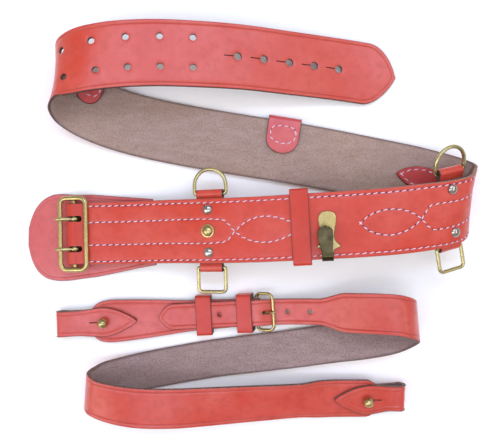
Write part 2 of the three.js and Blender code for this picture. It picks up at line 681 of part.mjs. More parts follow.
// Domed rivets through the belt and its chapes, and the stud between the left pair.
function addFixings() {
  const { headGap, head, rise, shank, back, backThick } = RIVET;
  const seatHeight = FACE + headGap;
  for (const seat of RING_SEATS) {
    const foot = -2 * (GAP + THIN_PLY) - GAP - seat.drop;
    const profile = [
      v2(0, foot - backThick),
      v2(back, foot - backThick),
      v2(back, foot),
      v2(shank, foot),
      v2(shank, seatHeight),
      v2(head, seatHeight),
      v2(head * 0.93, seatHeight + rise * 0.4),
      v2(head * 0.7, seatHeight + rise * 0.76),
      v2(head * 0.37, seatHeight + rise * 0.95),
      v2(0, seatHeight + rise),
    ];
    const place = new THREE.Matrix4().makeTranslation(0, rivetAcross(seat), 0);
    place.premultiply(belt.matrix(seat.s));
    add(`rivet_${seat.side}_${seat.end}`, NICKEL, turned(profile, 10), place);
  }
  const stud = BELT_STUD;
  const rimTop = seatHeight + stud.rim;
  const profile = [
    v2(0, -GAP - backThick),
    v2(stud.back, -GAP - backThick),
    v2(stud.back, -GAP),
    v2(stud.shank, -GAP),
    v2(stud.shank, seatHeight),
    v2(stud.head, seatHeight),
    v2(stud.head, rimTop),
    v2(stud.dome, rimTop),
    v2(stud.dome * 0.9, seatHeight + stud.rise * 0.6),
    v2(stud.dome * 0.6, seatHeight + stud.rise * 0.88),
    v2(0, seatHeight + stud.rise),
  ];
  add("belt_stud", BRASS, turned(profile, 12), belt.matrix(stud.s));
}

// A sliding leather loop round a strap: under(s) and over(s) give the heights of the inside of
// its back and front.
function keeperBand(course, s, width, half, under, over) {
  const sides = [s - width / 2, s + width / 2].map((at) => {
    const low = under(at);
    const high = over(at);
    const ring = (out) =>
      roundedRectangle(-half - out, half + out, low - out, high + out, KEEPER_CORNER + out, 3);
    return { at, inner: ring(0), outer: ring(THIN_PLY) };
  });
  const [near, far] = sides;
  const rings = near.inner.map((_, i) => [
    course.point(near.at, near.inner[i].x, near.inner[i].y),
    course.point(near.at, near.outer[i].x, near.outer[i].y),
    course.point(far.at, far.outer[i].x, far.outer[i].y),
    course.point(far.at, far.inner[i].x, far.inner[i].y),
  ]);
  return skin(rings, null);
}

// The hook: a plate on the belt's face that turns round below its lower edge into a leaf.
function addHook() {
  const { s, thick, bend, bendV, leafShift } = HOOK;
  const plateZ = FACE + GAP + thick / 2;
  const leafZ = plateZ + 2 * bend;
  const rows = [
    ...HOOK_PLATE.map(({ v, half }) => ({ x: v, z: plateZ, half })),
    ...arcRows(bendV, plateZ + bend, bend, 270, 90, 6, 4.9, leafShift / 2),
    ...HOOK_LEAF.map(({ v, rise, half }) => ({ x: v, z: leafZ + rise, half, shift: leafShift })),
  ];
  const at = (x, y, z) => belt.point(s + y, x, z);
  add("belt_hook", BRASS, bentStrip(rows, thick, at));
}

// Leather tabs folded over the belt's upper edge, with a round end on each side.
function addTabs() {
  const low = -TAB_GAP - THIN_PLY / 2;
  const fold = (PLY + THIN_PLY) / 2 + TAB_GAP;
  const edge = BELT_HALF - TAB_INSET;
  for (const { name, s, half, reach } of TABS) {
    const roundEnd = [0, 0.04, 0.14, 0.3, 0.5].map((t) => ({
      x: edge - reach * (1 - t),
      half: half * Math.max(Math.sqrt(1 - (1 - 2 * t) ** 2.4), 0.2),
    }));
    const rows = [
      ...roundEnd.map((row) => ({ ...row, z: low })),
      ...arcRows(edge, low + fold, fold, -90, 90, 6, half),
      ...roundEnd.map((row) => ({ ...row, z: low + 2 * fold })).reverse(),
    ];
    const at = (x, y, z) => belt.point(s + y, x, z);
    add(name, LEATHER, bentStrip(rows, THIN_PLY, at, 5));
  }
}

// A tongue that is buttoned on a stud, turns round at the loop's end and runs back under the
// strap, in a frame at the stud.
function endLoopRows(carried, reach) {
  const top = carried + GAP + LOOP_THICK / 2;
  const leg = -GAP - LOOP_THICK / 2;
  const bendX = LOOP.bulge + LOOP_THICK / 2 - reach;
  return [
    ...TONGUE_ROWS.map(({ x, half }) => ({ x, z: top, half })),
    { x: (bendX - 9) / 2, z: (top + leg) / 2 + LOOP.bulge / 2 + 1.2, half: LOOP.half },
    ...arcRows(bendX, leg + LOOP.bulge, LOOP.bulge, 90, 270, 8, LOOP.half),
    { x: bendX + 4, z: leg, half: LOOP.legHalf },
    { x: LOOP.legEnd, z: leg, half: LOOP.legHalf },
  ];
}

function addEndLoop(name, studName, seat, carried, reach, at) {
  const top = carried + GAP + LOOP_THICK;
  const { radius, slitFrom, slitWidth } = KEYHOLE;
  const side = slitWidth / 2;
  const slit = box(slitFrom, 0, -side, side, top - LOOP_THICK - 1, top + 1);
  const hole = drill(0, 0, radius, -GAP - LOOP_THICK - 1, top + 1);
  const rows = endLoopRows(carried, reach);
  const tools = [hole, slit].map((tool) => tool.applyMatrix4(seat));
  add(name, LEATHER, cut(bentStrip(rows, LOOP_THICK, at), tools));
  const { ball, neck, collar } = STRAP_STUD;
  const foot = 0.1 - GAP - LOOP_THICK;
  const seatHeight = top + GAP;
  const ballAt = seatHeight + STRAP_STUD.ballAbove;
  const profile = [
    v2(0, foot),
    v2(neck, foot),
    v2(neck, seatHeight),
    v2(collar, seatHeight),
    v2(collar, seatHeight + 0.7),
    v2(neck, seatHeight + 0.9),
    ...arcPoints(0, ballAt, ball, -58, 90, 7).slice(0, -1),
    v2(0, ballAt + ball),
  ];
  add(studName, BRASS, turned(profile, 12), seat);
}

// Half width of the long shoulder strap at s.
function strapHalf(s) {
  const t = THREE.MathUtils.smoothstep(s, WIDENING.from, WIDENING.to);
  return BILLET_HALF + (STRAP_HALF - BILLET_HALF) * t;
}

function addShoulderStrap() {
  const endFrom = STRAP_END.s - STRAP_END.length;
  const point = POINT_STEPS.map((t) => ({
    s: BILLET_POINT * (1 - t),
    half: BILLET_HALF * pointShare(t),
  })).reverse();
  const middle = [
    ...shoulder.rows(BILLET_POINT, WIDENING.from).slice(1),
    ...[0.2, 0.4, 0.6, 0.8].map((t) => THREE.MathUtils.lerp(WIDENING.from, WIDENING.to, t)),
    ...shoulder.rows(WIDENING.to, endFrom),
  ];
  const end = [0.25, 0.5, 0.75, 0.9, 1].map((t) => ({
    s: endFrom + t * STRAP_END.length,
    half: THREE.MathUtils.lerp(STRAP_HALF, STRAP_END.half, THREE.MathUtils.smoothstep(t, 0, 1)),
  }));
  const rows = [...point, ...middle.map((s) => ({ s, half: strapHalf(s) })), ...end];
  const through = (s, tool) => tool.applyMatrix4(shoulder.matrix(s));
  const holes = [];
  for (let i = 0; i < HOLE_COUNT; i++) {
    const s = BILLET_HOLES.first + i * BILLET_HOLES.pitch;
    const { length, width } = PRONG_HOLE;
    const pronged = box(-length / 2, length / 2, -width / 2, width / 2, -1, PLY + 1);
    const plain = drill(0, 0, BILLET_HOLES.radius, -1, PLY + 1);
    holes.push(through(s, i === 2 ? pronged : plain));
  }
  holes.push(through(endFrom, drill(0, 0, STRAP_STUD.neck + GAP, -1, PLY + 1)));
  add("shoulder_strap", LEATHER, cut(strap(shoulder, rows, 0, PLY), holes));
  const seat = shoulder.matrix(endFrom).multiply(new THREE.Matrix4().makeRotationZ(Math.PI));
  const at = (x, y, z) => shoulder.point(endFrom - x, y - LOOP.lean * Math.min(x, 0), z);
  addEndLoop("strap_loop_right", "strap_stud_right", seat, PLY, RIGHT_LOOP_REACH, at);
}

function addShortStrap() {
  const seat = new THREE.Matrix4().makeTranslation(SHORT.x, SHORT.y, 0)
    .multiply(new THREE.Matrix4().makeRotationZ(SHORT.turn * DEGREE));
  const { thick, mid, fold } = SHORT;
  const rows = [
    ...SHORT_ROWS,
    ...arcRows(0, mid, fold, 120, -90, 10, SHORT_RETURN.half),
    { x: SHORT_RETURN.end, z: SHORT_RETURN.z, half: SHORT_RETURN.half },
  ];
  const { studX, turn, reach } = LEFT_LOOP;
  const bottom = SHORT_ROWS[0].z - thick / 2;
  const strip = bentStrip(rows, thick, (x, y, z) => new THREE.Vector3(x, y, z));
  const side = STRAP_PRONG.slotWidth / 2;
  const slot = box(-fold - 1, fold + 3, -side, side, mid - 6, mid + 6);
  const hole = drill(studX, 0, STRAP_STUD.neck + GAP, 0, 9);
  add("buckle_strap", LEATHER, cut(strip, [slot, hole]), seat);
  const studSeat = seat.clone().multiply(new THREE.Matrix4().makeTranslation(studX, 0, bottom))
    .multiply(new THREE.Matrix4().makeRotationZ(turn * DEGREE));
  const at = (x, y, z) => new THREE.Vector3(x, y, z).applyMatrix4(studSeat);
  addEndLoop("strap_loop_left", "strap_stud_left", studSeat, thick, reach, at);

  const { length, half, corner, heel, tilt } = STRAP_BUCKLE;
  const outline = [
    ...arcPoints(length - corner, corner - half, corner, -90, 0, 4),
    ...arcPoints(length - corner, half - corner, corner, 0, 90, 4),
    ...arcPoints(heel, half - heel, heel, 90, 180, 3),
    ...arcPoints(heel, heel - half, heel, 180, 270, 3),
  ];
  const frame = loopBar(outline, STRAP_BAR, STRAP_BAR, 6).rotateY(-tilt * DEGREE);
  const bar = seat.clone().multiply(new THREE.Matrix4().makeTranslation(0, 0, mid));
  add("strap_buckle_frame", BRASS, frame, bar);
  const { ringInner, ringOuter, ringHalf } = STRAP_PRONG;
  const middle = arcPoints(0, 0, (ringInner + ringOuter) / 2, 0, 324, 9);
  const ring = loopBar(middle, (ringOuter - ringInner) / 2, ringHalf, 6).rotateX(Math.PI / 2);
  add("strap_buckle_prong", BRASS, join([ring, taperedBar(STRAP_PRONG_ROWS, 6)]), bar);
}

function addKeepers() {
  const { s, width, half } = BELT_KEEPER;
  const flat = keeperBand(belt, s, width, half, () => -GAP, () => FACE + GAP);
  add("belt_keeper", LEATHER, flat);
  for (const keeper of STRAP_KEEPERS) {
    const under = (at) => keeper.under - shoulder.frame(at).place.z;
    const over = () => PLY + GAP;
    const band = keeperBand(shoulder, keeper.s, STRAP_KEEPER_WIDTH, keeper.half, under, over);
    add(keeper.name, LEATHER, band);
  }
}

addBeltLeather();
addBuckleFold();
addBeltBuckle();
addRings();
addFixings();
addTabs();
addHook();
addShoulderStrap();
addShortStrap();
addKeepers();

// The origin goes to the middle of the footprint, at the height of the lowest point.
const reach = new THREE.Box3().setFromObject(model, true);
const middle = reach.getCenter(new THREE.Vector3());
for (const mesh of model.children) {
  mesh.position.add(new THREE.Vector3(-middle.x, -middle.y, -reach.min.z));
}

export default model;
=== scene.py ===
"""Looks of a leather waist belt with a two-prong buckle, and of its shoulder strap, laid out in a Z.

Tables and builders work in millimetres on the belt's own layout; meshes are made in metres.
"""

import json
import math

import bpy
import numpy as np
from bpy.props import FloatProperty, FloatVectorProperty, PointerProperty
from mathutils import Matrix, kdtree

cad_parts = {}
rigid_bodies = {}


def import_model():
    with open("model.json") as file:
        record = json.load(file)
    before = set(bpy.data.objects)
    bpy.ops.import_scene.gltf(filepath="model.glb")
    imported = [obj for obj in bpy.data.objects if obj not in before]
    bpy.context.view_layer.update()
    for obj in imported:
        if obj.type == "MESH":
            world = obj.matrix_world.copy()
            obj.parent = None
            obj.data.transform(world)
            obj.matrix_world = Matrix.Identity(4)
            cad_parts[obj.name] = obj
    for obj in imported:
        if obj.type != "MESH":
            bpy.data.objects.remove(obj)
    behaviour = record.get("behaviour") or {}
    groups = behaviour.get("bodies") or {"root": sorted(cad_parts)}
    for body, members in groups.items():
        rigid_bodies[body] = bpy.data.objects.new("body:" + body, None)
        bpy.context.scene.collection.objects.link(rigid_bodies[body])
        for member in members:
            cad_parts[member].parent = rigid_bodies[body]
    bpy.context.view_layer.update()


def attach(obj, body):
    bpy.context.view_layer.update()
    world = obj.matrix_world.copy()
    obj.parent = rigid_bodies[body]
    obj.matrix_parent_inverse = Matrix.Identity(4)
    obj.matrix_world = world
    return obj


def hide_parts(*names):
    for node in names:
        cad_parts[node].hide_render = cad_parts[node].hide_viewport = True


bl_info = {
    "name": "Waist belt and shoulder strap",
    "version": (1, 0, 0),
    "blender": (4, 5, 0),
    "location": "3D View > Sidebar > Belt",
    "description": "Builds a two-prong leather belt with its shoulder strap around its frame",
    "category": "Object",
}

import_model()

MM = 0.001
DEGREE = math.pi / 180
ORIGIN = np.array([3.3340, 5.9202, 0.2825])  # from the layout's origin to the frame's, mm
CAMERA_HEIGHT = 480.0  # above the layout's origin, mm
CAMERA_FOCUS = 518.0  # in pixels of the photograph
PHOTO_SIZE = (500, 439)
SENSOR = 36.0
CLIP_START = 0.01  # metres

# Leather thicknesses and the gap between plies, mm
PLY = 3.0
THIN_PLY = 2.0
PAD_PLY = 2.5
GAP = 0.32
PLY_REST = 0.03  # from the inner ply up to the facing that rests on it
FACE = PLY + GAP + PLY

# Waist belt
BELT_HALF = 28.0
FACING_LENGTH = 391.0
TIP_LENGTH = 29.0
FACING_TIP_LENGTH = 22.0
PAIR_HOLES = {"first": 757.3, "pitch": 27.5, "across": 12.7, "up": 1.0, "radius": 2.9}
SINGLE_HOLES = {"first": 906.0, "pitch": 23.6, "radius": 3.4, "slit": 9.0, "slit_width": 0.9}
HOLE_COUNT = 5
PATCH = {"from": 364.0, "to": 415.0, "half": 11.0, "gap": 0.6}
BUCKLE = {"x": -13.0, "z": 3.15, "half": 12.5, "tall": 32.3, "corner": 6.0, "lift": 3.9, "tilt": 6.8}
BUCKLE_BAND = {"wide": 2.2, "high": 1.7, "bar": 2.3}
FOLD = {"middle": 5.1, "slot_from": -7.6, "slot_to": 8.4, "slot_width": 5.4}
PRONG = {"across": 13.6, "inner": 2.6, "outer": 5.1, "half": 2.2}
# x, z, radius
PRONG_ROWS = [(-1, 3.9, 1.5), (-5, 4.7, 1.8), (-10.5, 5.9, 1.7), (-14, 5.9, 1.5), (-16.2, 5.3, 1)]
ROLL_RADIUS = 3.0
ROLL_V = BELT_HALF + 4.4
ROLL_H = -(GAP + THIN_PLY + GAP / 2)
WIRE = 1.65
D_RING = {"half": 14.4, "leg": 7.5, "corner": 2.2, "chape": 24.0}
SQUARE_RING = {"half": 12.5, "length": 21.5, "corner": 3.6, "bar_corner": 1.9, "chape": 20.6}
# side, end, s, rivet, drop, shift, swing
RING_SEATS = [
    ("left", "top", 113, 18.6, 0, 0, 0),
    ("left", "bottom", 113, 18.6, 0, 0, 0),
    ("right", "top", 319, 20.8, 5.8, 9.4, -12),
    ("right", "bottom", 319, 16.6, 4, 2.2, -8),
]
RIVET_SEAT = FACE + 0.5 - 0.55  # the heads sink a little into the leather
# radius, height above the rivet's seat
RIVET_HEAD = [
    (1.5, 0), (4.25, 0), (4.4, 0.12), (4.36, 0.5), (4.1, 0.96), (3.6, 1.45), (2.9, 1.86),
    (2.0, 2.16), (1.0, 2.34), (0.3, 2.4),
]
RIVET_BACK = [
    (1.4, 1.2), (1.5, 0.0), (3.1, 0.0), (3.2, -0.15), (3.1, -0.8), (2.6, -0.9), (0.4, -0.9),
]
STUD_S = 113.0
STUD_HEAD = [
    (1.7, 0), (5.8, 0), (6.0, 0.2), (6.0, 0.95), (5.8, 1.2), (5.05, 1.2), (4.75, 1.3), (4.7, 1.6),
    (4.45, 2.4), (3.9, 3.2), (2.9, 3.85), (1.6, 4.25), (0.5, 4.4),
]
STUD_BACK = [(1.7, 1), (1.7, 0), (2.9, 0), (3, -0.2), (2.9, -0.9), (0.4, -0.9)]
TAB_GAP = 0.8
TAB_INSET = 0.6
# name, s, half, reach
TABS = [("brace_tab_middle", 523.3, 14.7, 29.5), ("brace_tab_end", 710, 13, 26)]
BELT_KEEPER = {"s": 192.5, "width": 15.5, "half": 30.4}
HOOK = {"s": 214.5, "thick": 1.6, "bend": 3.8, "bend_v": -24.5, "bend_half": 4.6, "bend_shift": -0.8}
# v, half, shift to the left
HOOK_PLATE = [
    (12.1, 1.2, 0), (11.9, 2.6, 0), (11.2, 4.6, 0), (9.4, 6.3, 0), (6.6, 7.2, 0), (3, 7.1, 0),
    (-1, 6.3, 0), (-5, 5.6, 0), (-9.6, 5.3, 0), (-12.4, 5.9, 0), (-14.8, 7.6, 0),
    (-16.8, 9.5, 0), (-17.6, 9.9, 0), (-18.2, 8.2, 0), (-19.2, 6.3, -0.3), (-20.4, 5.2, -0.6),
    (-22, 4.9, -0.8),
]
# v, rise, half, shift to the left
HOOK_LEAF = [
    (-22, 0.1, 4.4, -1.6), (-18, 0.4, 4.9, -2), (-12, 0.9, 5.7, -2.3), (-6, 1.7, 6.2, -2.5),
    (-3, 2.1, 5.6, -2.5), (-1.3, 2.4, 4.2, -2.5), (-0.4, 2.5, 2.2, -2.5), (-0.1, 2.6, 0.8, -2.5),
]

# Shoulder strap
STRAP_HALF = 17.2
BILLET_HALF = 11.7
BILLET_POINT = 13.0
WIDENING = (146.0, 172.0)
STRAP_END = {"s": 823.0, "length": 14.0, "half": 11.0}
STRAP_END_FROM = STRAP_END["s"] - STRAP_END["length"]
BILLET_HOLES = {"first": 55.5, "pitch": 20.9, "radius": 2.0}
PRONG_HOLE = {"length": 7.4, "width": 3.2, "at": 2}
SHORT = {"x": 6.5, "y": -84.2, "turn": 3.9, "thick": 2.2, "mid": 6.5, "fold": 2.9}
# x, z, half
SHORT_ROWS = [
    (-152, 4.1, 11), (-148, 4.1, 15.6), (-143, 4.1, 18.2), (-135, 4.1, 19.4), (-121, 4.1, 19),
    (-98, 4.1, 17.4), (-61, 4.1, 14.2), (-40, 4.3, 13.4), (-20, 5.8, 12.8), (-10, 6.2, 12.6),
    (-5, 7.4, 12.4),
]
SHORT_RETURN = {"z": 3.6, "end": -16.0, "half": 12.2}
STRAP_BUCKLE = {"length": 16.4, "half": 16.6, "corner": 5.5, "heel": 4.0, "tilt": 28.0}
STRAP_BAR = 1.5
STUD_HOLE = 2.3
STRAP_PRONG = {"inner": 1.8, "outer": 3.4, "half": 1.5, "slot": 4.2}
# x, z, radius
STRAP_PRONG_ROWS = [(2, 1.9, 1), (6, 4, 1.2), (10.5, 7.6, 1.2), (13.6, 10.9, 1.1), (15.6, 11.4, 0.8)]
# name, s, half, height of its back's inside above the floor
STRAP_KEEPERS = [("strap_keeper_left", 41.2, 16.2, 2.4), ("strap_keeper_right", 78.5, 15.4, 2.2)]
STRAP_KEEPER_WIDTH = 14.4
KEEPER_CORNER = 0.6
LOOP_THICK = 2.5
# x from the stud towards the tongue's point, half
TONGUE_ROWS = [
    (29.5, 0.8), (28.4, 1.8), (26, 3.6), (20, 7), (12, 10.6), (4, 12.8), (-2, 13.3), (-9, 12.7),
]
LOOP = {"half": 11.4, "bulge": 4.1, "lean": 0.06, "leg_half": 11.0, "leg_end": 12.0}
KEYHOLE = {"radius": 2.5, "slit_from": -13.5, "slit_width": 1.0}
LEFT_LOOP = {"stud_x": -140.0, "turn": -1.6, "reach": 43.5}
RIGHT_LOOP_REACH = 35.0
# radius, height above the tongue's face
STRAP_STUD = [
    (2, -9), (2, 0.32), (3.1, 0.32), (3.2, 0.5), (3.1, 0.95), (2.4, 1.1), (2.9, 1.35), (3.9, 2.3),
    (4.5, 3.6), (4.6, 4.7), (4.45, 5.9), (3.9, 7.15), (3.0, 8.2), (1.7, 9.0), (0.4, 9.3),
]

# x, y, z of the middle of the suede side, then yaw and pitch of the direction across, degrees
BELT_STATIONS = [
    (-146, -12.8, 7.2, -2, 0), (-110, -12, 9.6, -2, 0), (-70, -10.6, 17, -1.5, 0),
    (-30, -9.7, 27, -1.5, 0), (10, -8.2, 35, -2.5, 0), (50, -5.9, 41, -3.5, 0),
    (90, -3.5, 44.5, -4, 1), (122, -0.8, 45.8, -5.5, 3), (148, 2.6, 45.6, -6, 7),
    (163, 5, 43.6, -5, 11), (175, 8.2, 39.6, -4, 15.5), (183, 12.6, 33.8, -1.5, 18.5),
    (186.5, 17.8, 26.8, -0.5, 17), (186.2, 22.8, 20, 1, 13), (180.2, 28.2, 14, 8, 6),
    (163, 34.8, 9, 13, 1), (146, 39.8, 6.4, 12.5, 0), (115, 46.6, 4.2, 11.5, 0),
    (75, 54.6, 4.4, 10, 0), (36, 61.4, 5.7, 9.5, 0), (-10, 68.7, 5, 9.5, 0),
    (-60, 77.4, 3.6, 10.5, 0), (-100, 85.8, 4, 12, 0), (-127, 93.6, 6.2, 15, -1),
    (-146, 101.6, 9.6, 17, -2), (-158.6, 110.2, 15, 13, -9), (-166, 119.6, 26.5, 2, -18),
    (-162.5, 127.6, 38, -3, -16), (-146, 132.6, 45, -8, -8), (-120, 137.2, 46, -6, -2),
    (-85, 140, 44, -2, 0), (-42, 140.6, 38, 0, 0), (-4, 140.9, 28, 1, 0), (35, 139.2, 17.5, 2, 0),
    (77, 136.9, 7, 3.5, 0), (105, 134, 2.6, 6, 0), (133.5, 130.2, 0.3, 9, 0),
]
PAD_STATIONS = [
    (-204, -15.8, 0.1, 0, 0), (-170, -16.6, 0.1, 0, 0), (-148, -15.3, 0.2, 0, 0),
    (-125, -13.8, 1.4, -1, 0), (-105, -12.4, 6, -1.5, 0), (-84, -11.2, 10.8, -1.5, 0),
]
# s, half
PAD_ROWS = [
    (0, 9), (2.5, 18.5), (6, 26.5), (12, 34), (20, 38.6), (30, 40), (47, 38.8), (61, 37.9),
    (76, 35.9), (90, 33.9), (104, 31.9), (119, 30),
]
STRAP_STATIONS = [
    (-83, -89.4, 5.8, -3, 0), (-52, -87.8, 5.9, -3, 0), (-24, -86.2, 7.4, -3, 0),
    (-6, -85.2, 9, -3, 0), (6.5, -84.4, 11.2, -3, 0), (20.8, -83.8, 8.7, -2, 0),
    (34, -83.2, 10.2, -2, 0), (50, -82.4, 14.5, -2, 0), (70, -81.8, 21, -1, 0),
    (92, -81, 31, 0, -2), (111, -80.4, 39, 3, -6), (127, -81.6, 41.5, 8, -14),
    (138.5, -85.4, 37, 9, -22), (144, -91, 26, 2, -28), (138, -98.5, 15.5, 2, -26),
    (125, -104.5, 11.4, 6, -22), (104, -108.8, 10, 9, -19), (76, -112.6, 8.4, 9, -15),
    (41, -117.9, 6.4, 8, -9), (5, -122.9, 4.4, 8, -3), (-30, -127.6, 3.2, 8.5, 0),
    (-64, -133.2, 3.3, 10, 0), (-92, -138.4, 3.9, 11, 1), (-116, -143, 6.2, 12, 6),
    (-135, -146.4, 11.8, 12, 14), (-142.2, -149.4, 22, 9, 21), (-137, -152.6, 31.6, 18, 18),
    (-122, -157, 35, 20, 9), (-98, -161.6, 34.2, 8, 2), (-67, -163.4, 31, -1, 2),
    (-37, -163.4, 26, -2, 6), (0, -162.9, 20, -2, 12), (45, -162.2, 13.5, -2, 17),
    (62, -162, 10.4, -1, 7), (78, -162, 8.6, 0, 5), (100, -162.3, 7.5, 0, 5),
    (122, -162.6, 6.4, 0, 5), (146, -162.9, 5.2, 0, 5),
]

# Hollows pressed into the leather: depth and width of the slope in mm, share of the painted shade in the
# hollow
STITCH_GROOVE = {"depth": 0.42, "slope": 0.75, "puff": 0.3, "puff_slope": 3.2, "dark": 0.55}
HOLE_RIM = {"depth": 0.4, "slope": 0.9, "dark": 0.65}
CREASE = {"slope": 0.42, "dark": 0.75}
THREAD_RISE = 0.1  # of a seam on a flat piece
# length, width and height of the dark body between two stitches that paints the shade of the stitch hole,
# metres
HOLE_SHADE_SIZE = (0.0017, 0.0012, 0.00065)
THREAD_HEIGHT = 0.0009
SLANT_SPREAD = 0.07  # radians
FAR_INSET = 9.0  # given to points of pieces that have no leather edge
CUTTER_REACH = 2.0  # past each side of a ply, mm
SHARP_ANGLE = 38  # degrees; a sharper turn between two faces stays a hard line
WELD_ANGLE = 50

# Names of the finishes of a piece's face, edge and back
BELT_LEATHER = ("belt", "belt_edge", "belt_suede")
KEEPER_LEATHER = ("keeper", "belt_edge", "belt_suede")
STRAP_LEATHER = ("strap", "strap_edge", "strap_suede")
BRASS = ("brass",)

FLOOR_REACH = 3.0
FLOOR_LOOK = {"Roughness": 0.9, "Specular IOR Level": 0.1}
WORLD_COLOR, WORLD_STRENGTH = (1.0, 0.98, 0.97, 1), 0.46
SKY_BLUE, WARM_WHITE, PALE_WHITE = (0.50, 0.64, 1.0), (1.0, 0.93, 0.86), (1.0, 0.97, 0.95)
# name, place and size in metres, turn in degrees, power setting, share of it, colour
LIGHTS = [
    ("overhead_light", (0.3, 0.0, 1.3), (1.5, 1.5), (0, 13, 0), "overhead_power", 1, (1.0, 0.96, 0.93)),
    ("gloss_light", (0.1, 0.0, 1.35), (1.5, 1.5), (0, 4, 0), "gloss_power", 1, PALE_WHITE),
    ("sky_light", (0.12, 0.62, 1.25), (1.3, 0.42), (-26, 5, 0), "sky_power", 1, SKY_BLUE),
    ("low_sky_light", (-0.25, -0.38, 1.25), (0.9, 0.24), (17, 0, 0), "sky_power", 0.5, SKY_BLUE),
    ("side_light", (1.05, 0.0, 0.9), (0.25, 0.9), (0, 49, 0), "side_power", 1, PALE_WHITE),
    ("fill_light", (-1.0, -0.5, 0.9), (0.8, 0.8), (25, -48, 0), "fill_power", 1, WARM_WHITE),
]
UNMIRRORED_LIGHT = "overhead_light"

# Stitching on the belt's front: places along and across, s and v
EDGE_STITCHING = [
    [(3, 24.6), (90, 24.5), (182, 24.4)],
    [(3, -25.4), (90, -25.2), (182, -24.9)],
    [
        (203, 24.3), (280, 24.3), (365, 24.4), (376, 21.5), (382, 16), (385.5, 8), (386.5, 0),
        (385.5, -8), (382, -16), (376, -21.8), (365, -24.7), (280, -24.6), (203, -24.8),
    ],
]
PANEL_STITCHING = [
    [
        (3, 10), (60, 10), (120, 9.9), (128, 8.4), (136.7, -1), (147, -8), (161, -11.1),
        (173, -9.9), (183, -6.2),
    ],
    [
        (3, -10.5), (60, -10.4), (121, -10.3), (129.5, -8.6), (136.7, -1), (148, 7.6),
        (162, 10.9), (174, 9.2), (183, 5.8),
    ],
    [
        (241.8, 0.6), (247, -5.4), (256, -9.6), (267, -11.1), (279, -8.6), (287, -4.2), (291.6, -0.6),
        (296, 5.2), (299.5, 9.2), (304, 10.2), (330, 10.3), (372, 10.2),
    ],
    [
        (241.8, 0.6), (249, 6.2), (258, 9.3), (269, 10.1), (280, 7.6), (287.5, 3.2), (291.6, -0.6),
        (296, -7), (299.5, -10.3), (304, -11), (330, -10.8), (372, -10.4),
    ],
]


# ---- Settings a user may change


def color_setting(title, about, color):
    return FloatVectorProperty(
        name=title, description=about, subtype="COLOR", size=3, min=0, max=1, default=color,
    )


def length_setting(title, about, low, high, metres):
    return FloatProperty(
        name=title, description=about, subtype="DISTANCE", unit="LENGTH",
        min=low, max=high, default=metres,
    )


def power_setting(title, about, watts):
    return FloatProperty(name=title, description=about, unit="POWER", min=0, max=200, default=watts)


class BeltLeatherSettings(bpy.types.PropertyGroup):
    """Colours and pressed lines of the leather."""

    belt_color: color_setting("Belt colour", "Dyed outer face of the waist belt", (0.60, 0.046, 0.019))
    front_color: color_setting(
        "Front colour", "Deeper red of the stitched front layer", (0.58, 0.040, 0.016),
    )
    # the pad's pinker tone is partly painted sheen of the cool light, on top of its dyed red
    pad_color: color_setting("Pad colour", "Outer face of the pad behind the buckle", (0.60, 0.090, 0.090))
    strap_color: color_setting("Strap colour", "Outer face of the shoulder strap", (0.57, 0.042, 0.020))
    keeper_color: color_setting("Keeper colour", "Outer face of the sliding loops", (0.54, 0.030, 0.011))
    # the tabs' pinker tone is partly painted sheen of the cool light, on top of their dyed red
    tab_color: color_setting(
        "Tab colour", "Face of the two tabs over the belt's upper edge", (0.58, 0.060, 0.065),
    )
    # the patch's deep red is partly painted shade of the inside of the bend where it lies
    patch_color: color_setting(
        "Patch colour", "Face of the pointed patch on the inside", (0.50, 0.012, 0.010),
    )
    suede_color: color_setting("Suede colour", "Rough inner side of belt and strap", (0.355, 0.240, 0.200))
    crease_depth: length_setting(
        "Crease depth", "Depth of the pressed line along an edge", 0, 0.001, 0.00034,
    )
    crease_inset: length_setting(
        "Crease inset", "Distance of the pressed line from the edge", 0.001, 0.006, 0.0033,
    )


class StitchSettings(bpy.types.PropertyGroup):
    """Sizes and colour of the sewing thread."""

    pitch: length_setting("Stitch pitch", "Distance from stitch to stitch", 0.002, 0.02, 0.0058)
    length: length_setting(
        "Stitch length", "Length of thread that shows in one stitch", 0.001, 0.02, 0.0046,
    )
    width: length_setting("Thread width", "Thickness of the thread", 0.0002, 0.003, 0.00105)
    slant: FloatProperty(
        name="Stitch slant", description="Turn of each stitch away from its row",
        subtype="ANGLE", unit="ROTATION", min=-1, max=1, default=9 * DEGREE,
    )
    color: color_setting("Thread colour", "Colour of the sewing thread", (0.78, 0.64, 0.74))


class MetalSettings(bpy.types.PropertyGroup):
    """Colours of the metal fittings."""

    brass_color: color_setting("Brass colour", "Cast brass of buckles, hook and studs", (0.58, 0.47, 0.21))
    # the leaf's dark colour is a painted reflection of the dark surroundings in its mirror-like face
    leaf_color: color_setting(
        "Hook leaf colour", "Darkened brass of the hook's upper leaf", (0.070, 0.053, 0.022),
    )
    wire_color: color_setting("Wire colour", "Paler brass wire of the rings", (0.60, 0.53, 0.26))
    # the nickel is darkened as a painted reflection of the dark surroundings the domes mirror
    nickel_color: color_setting("Rivet colour", "Nickel plate of the domed rivets", (0.50, 0.46, 0.42))


class StageSettings(bpy.types.PropertyGroup):
    """Floor and lights."""

    floor_color: color_setting("Floor colour", "Colour of the plain floor", (0.97, 0.97, 0.97))
    overhead_power: power_setting("Overhead light", "Power of the broad soft light above", 4.5)
    gloss_power: power_setting(
        "Overhead gloss", "Power of the overhead light that metal and leather mirror", 4.4,
    )
    side_power: power_setting("Side light", "Power of the strip that shines on the raised right bends", 1.5)
    sky_power: power_setting("Sky light", "Power of the cool strip that glosses the far stretch", 6)
    fill_power: power_setting("Fill light", "Power of the softer warm light from the left", 5)


# ---- Courses and smooth lines


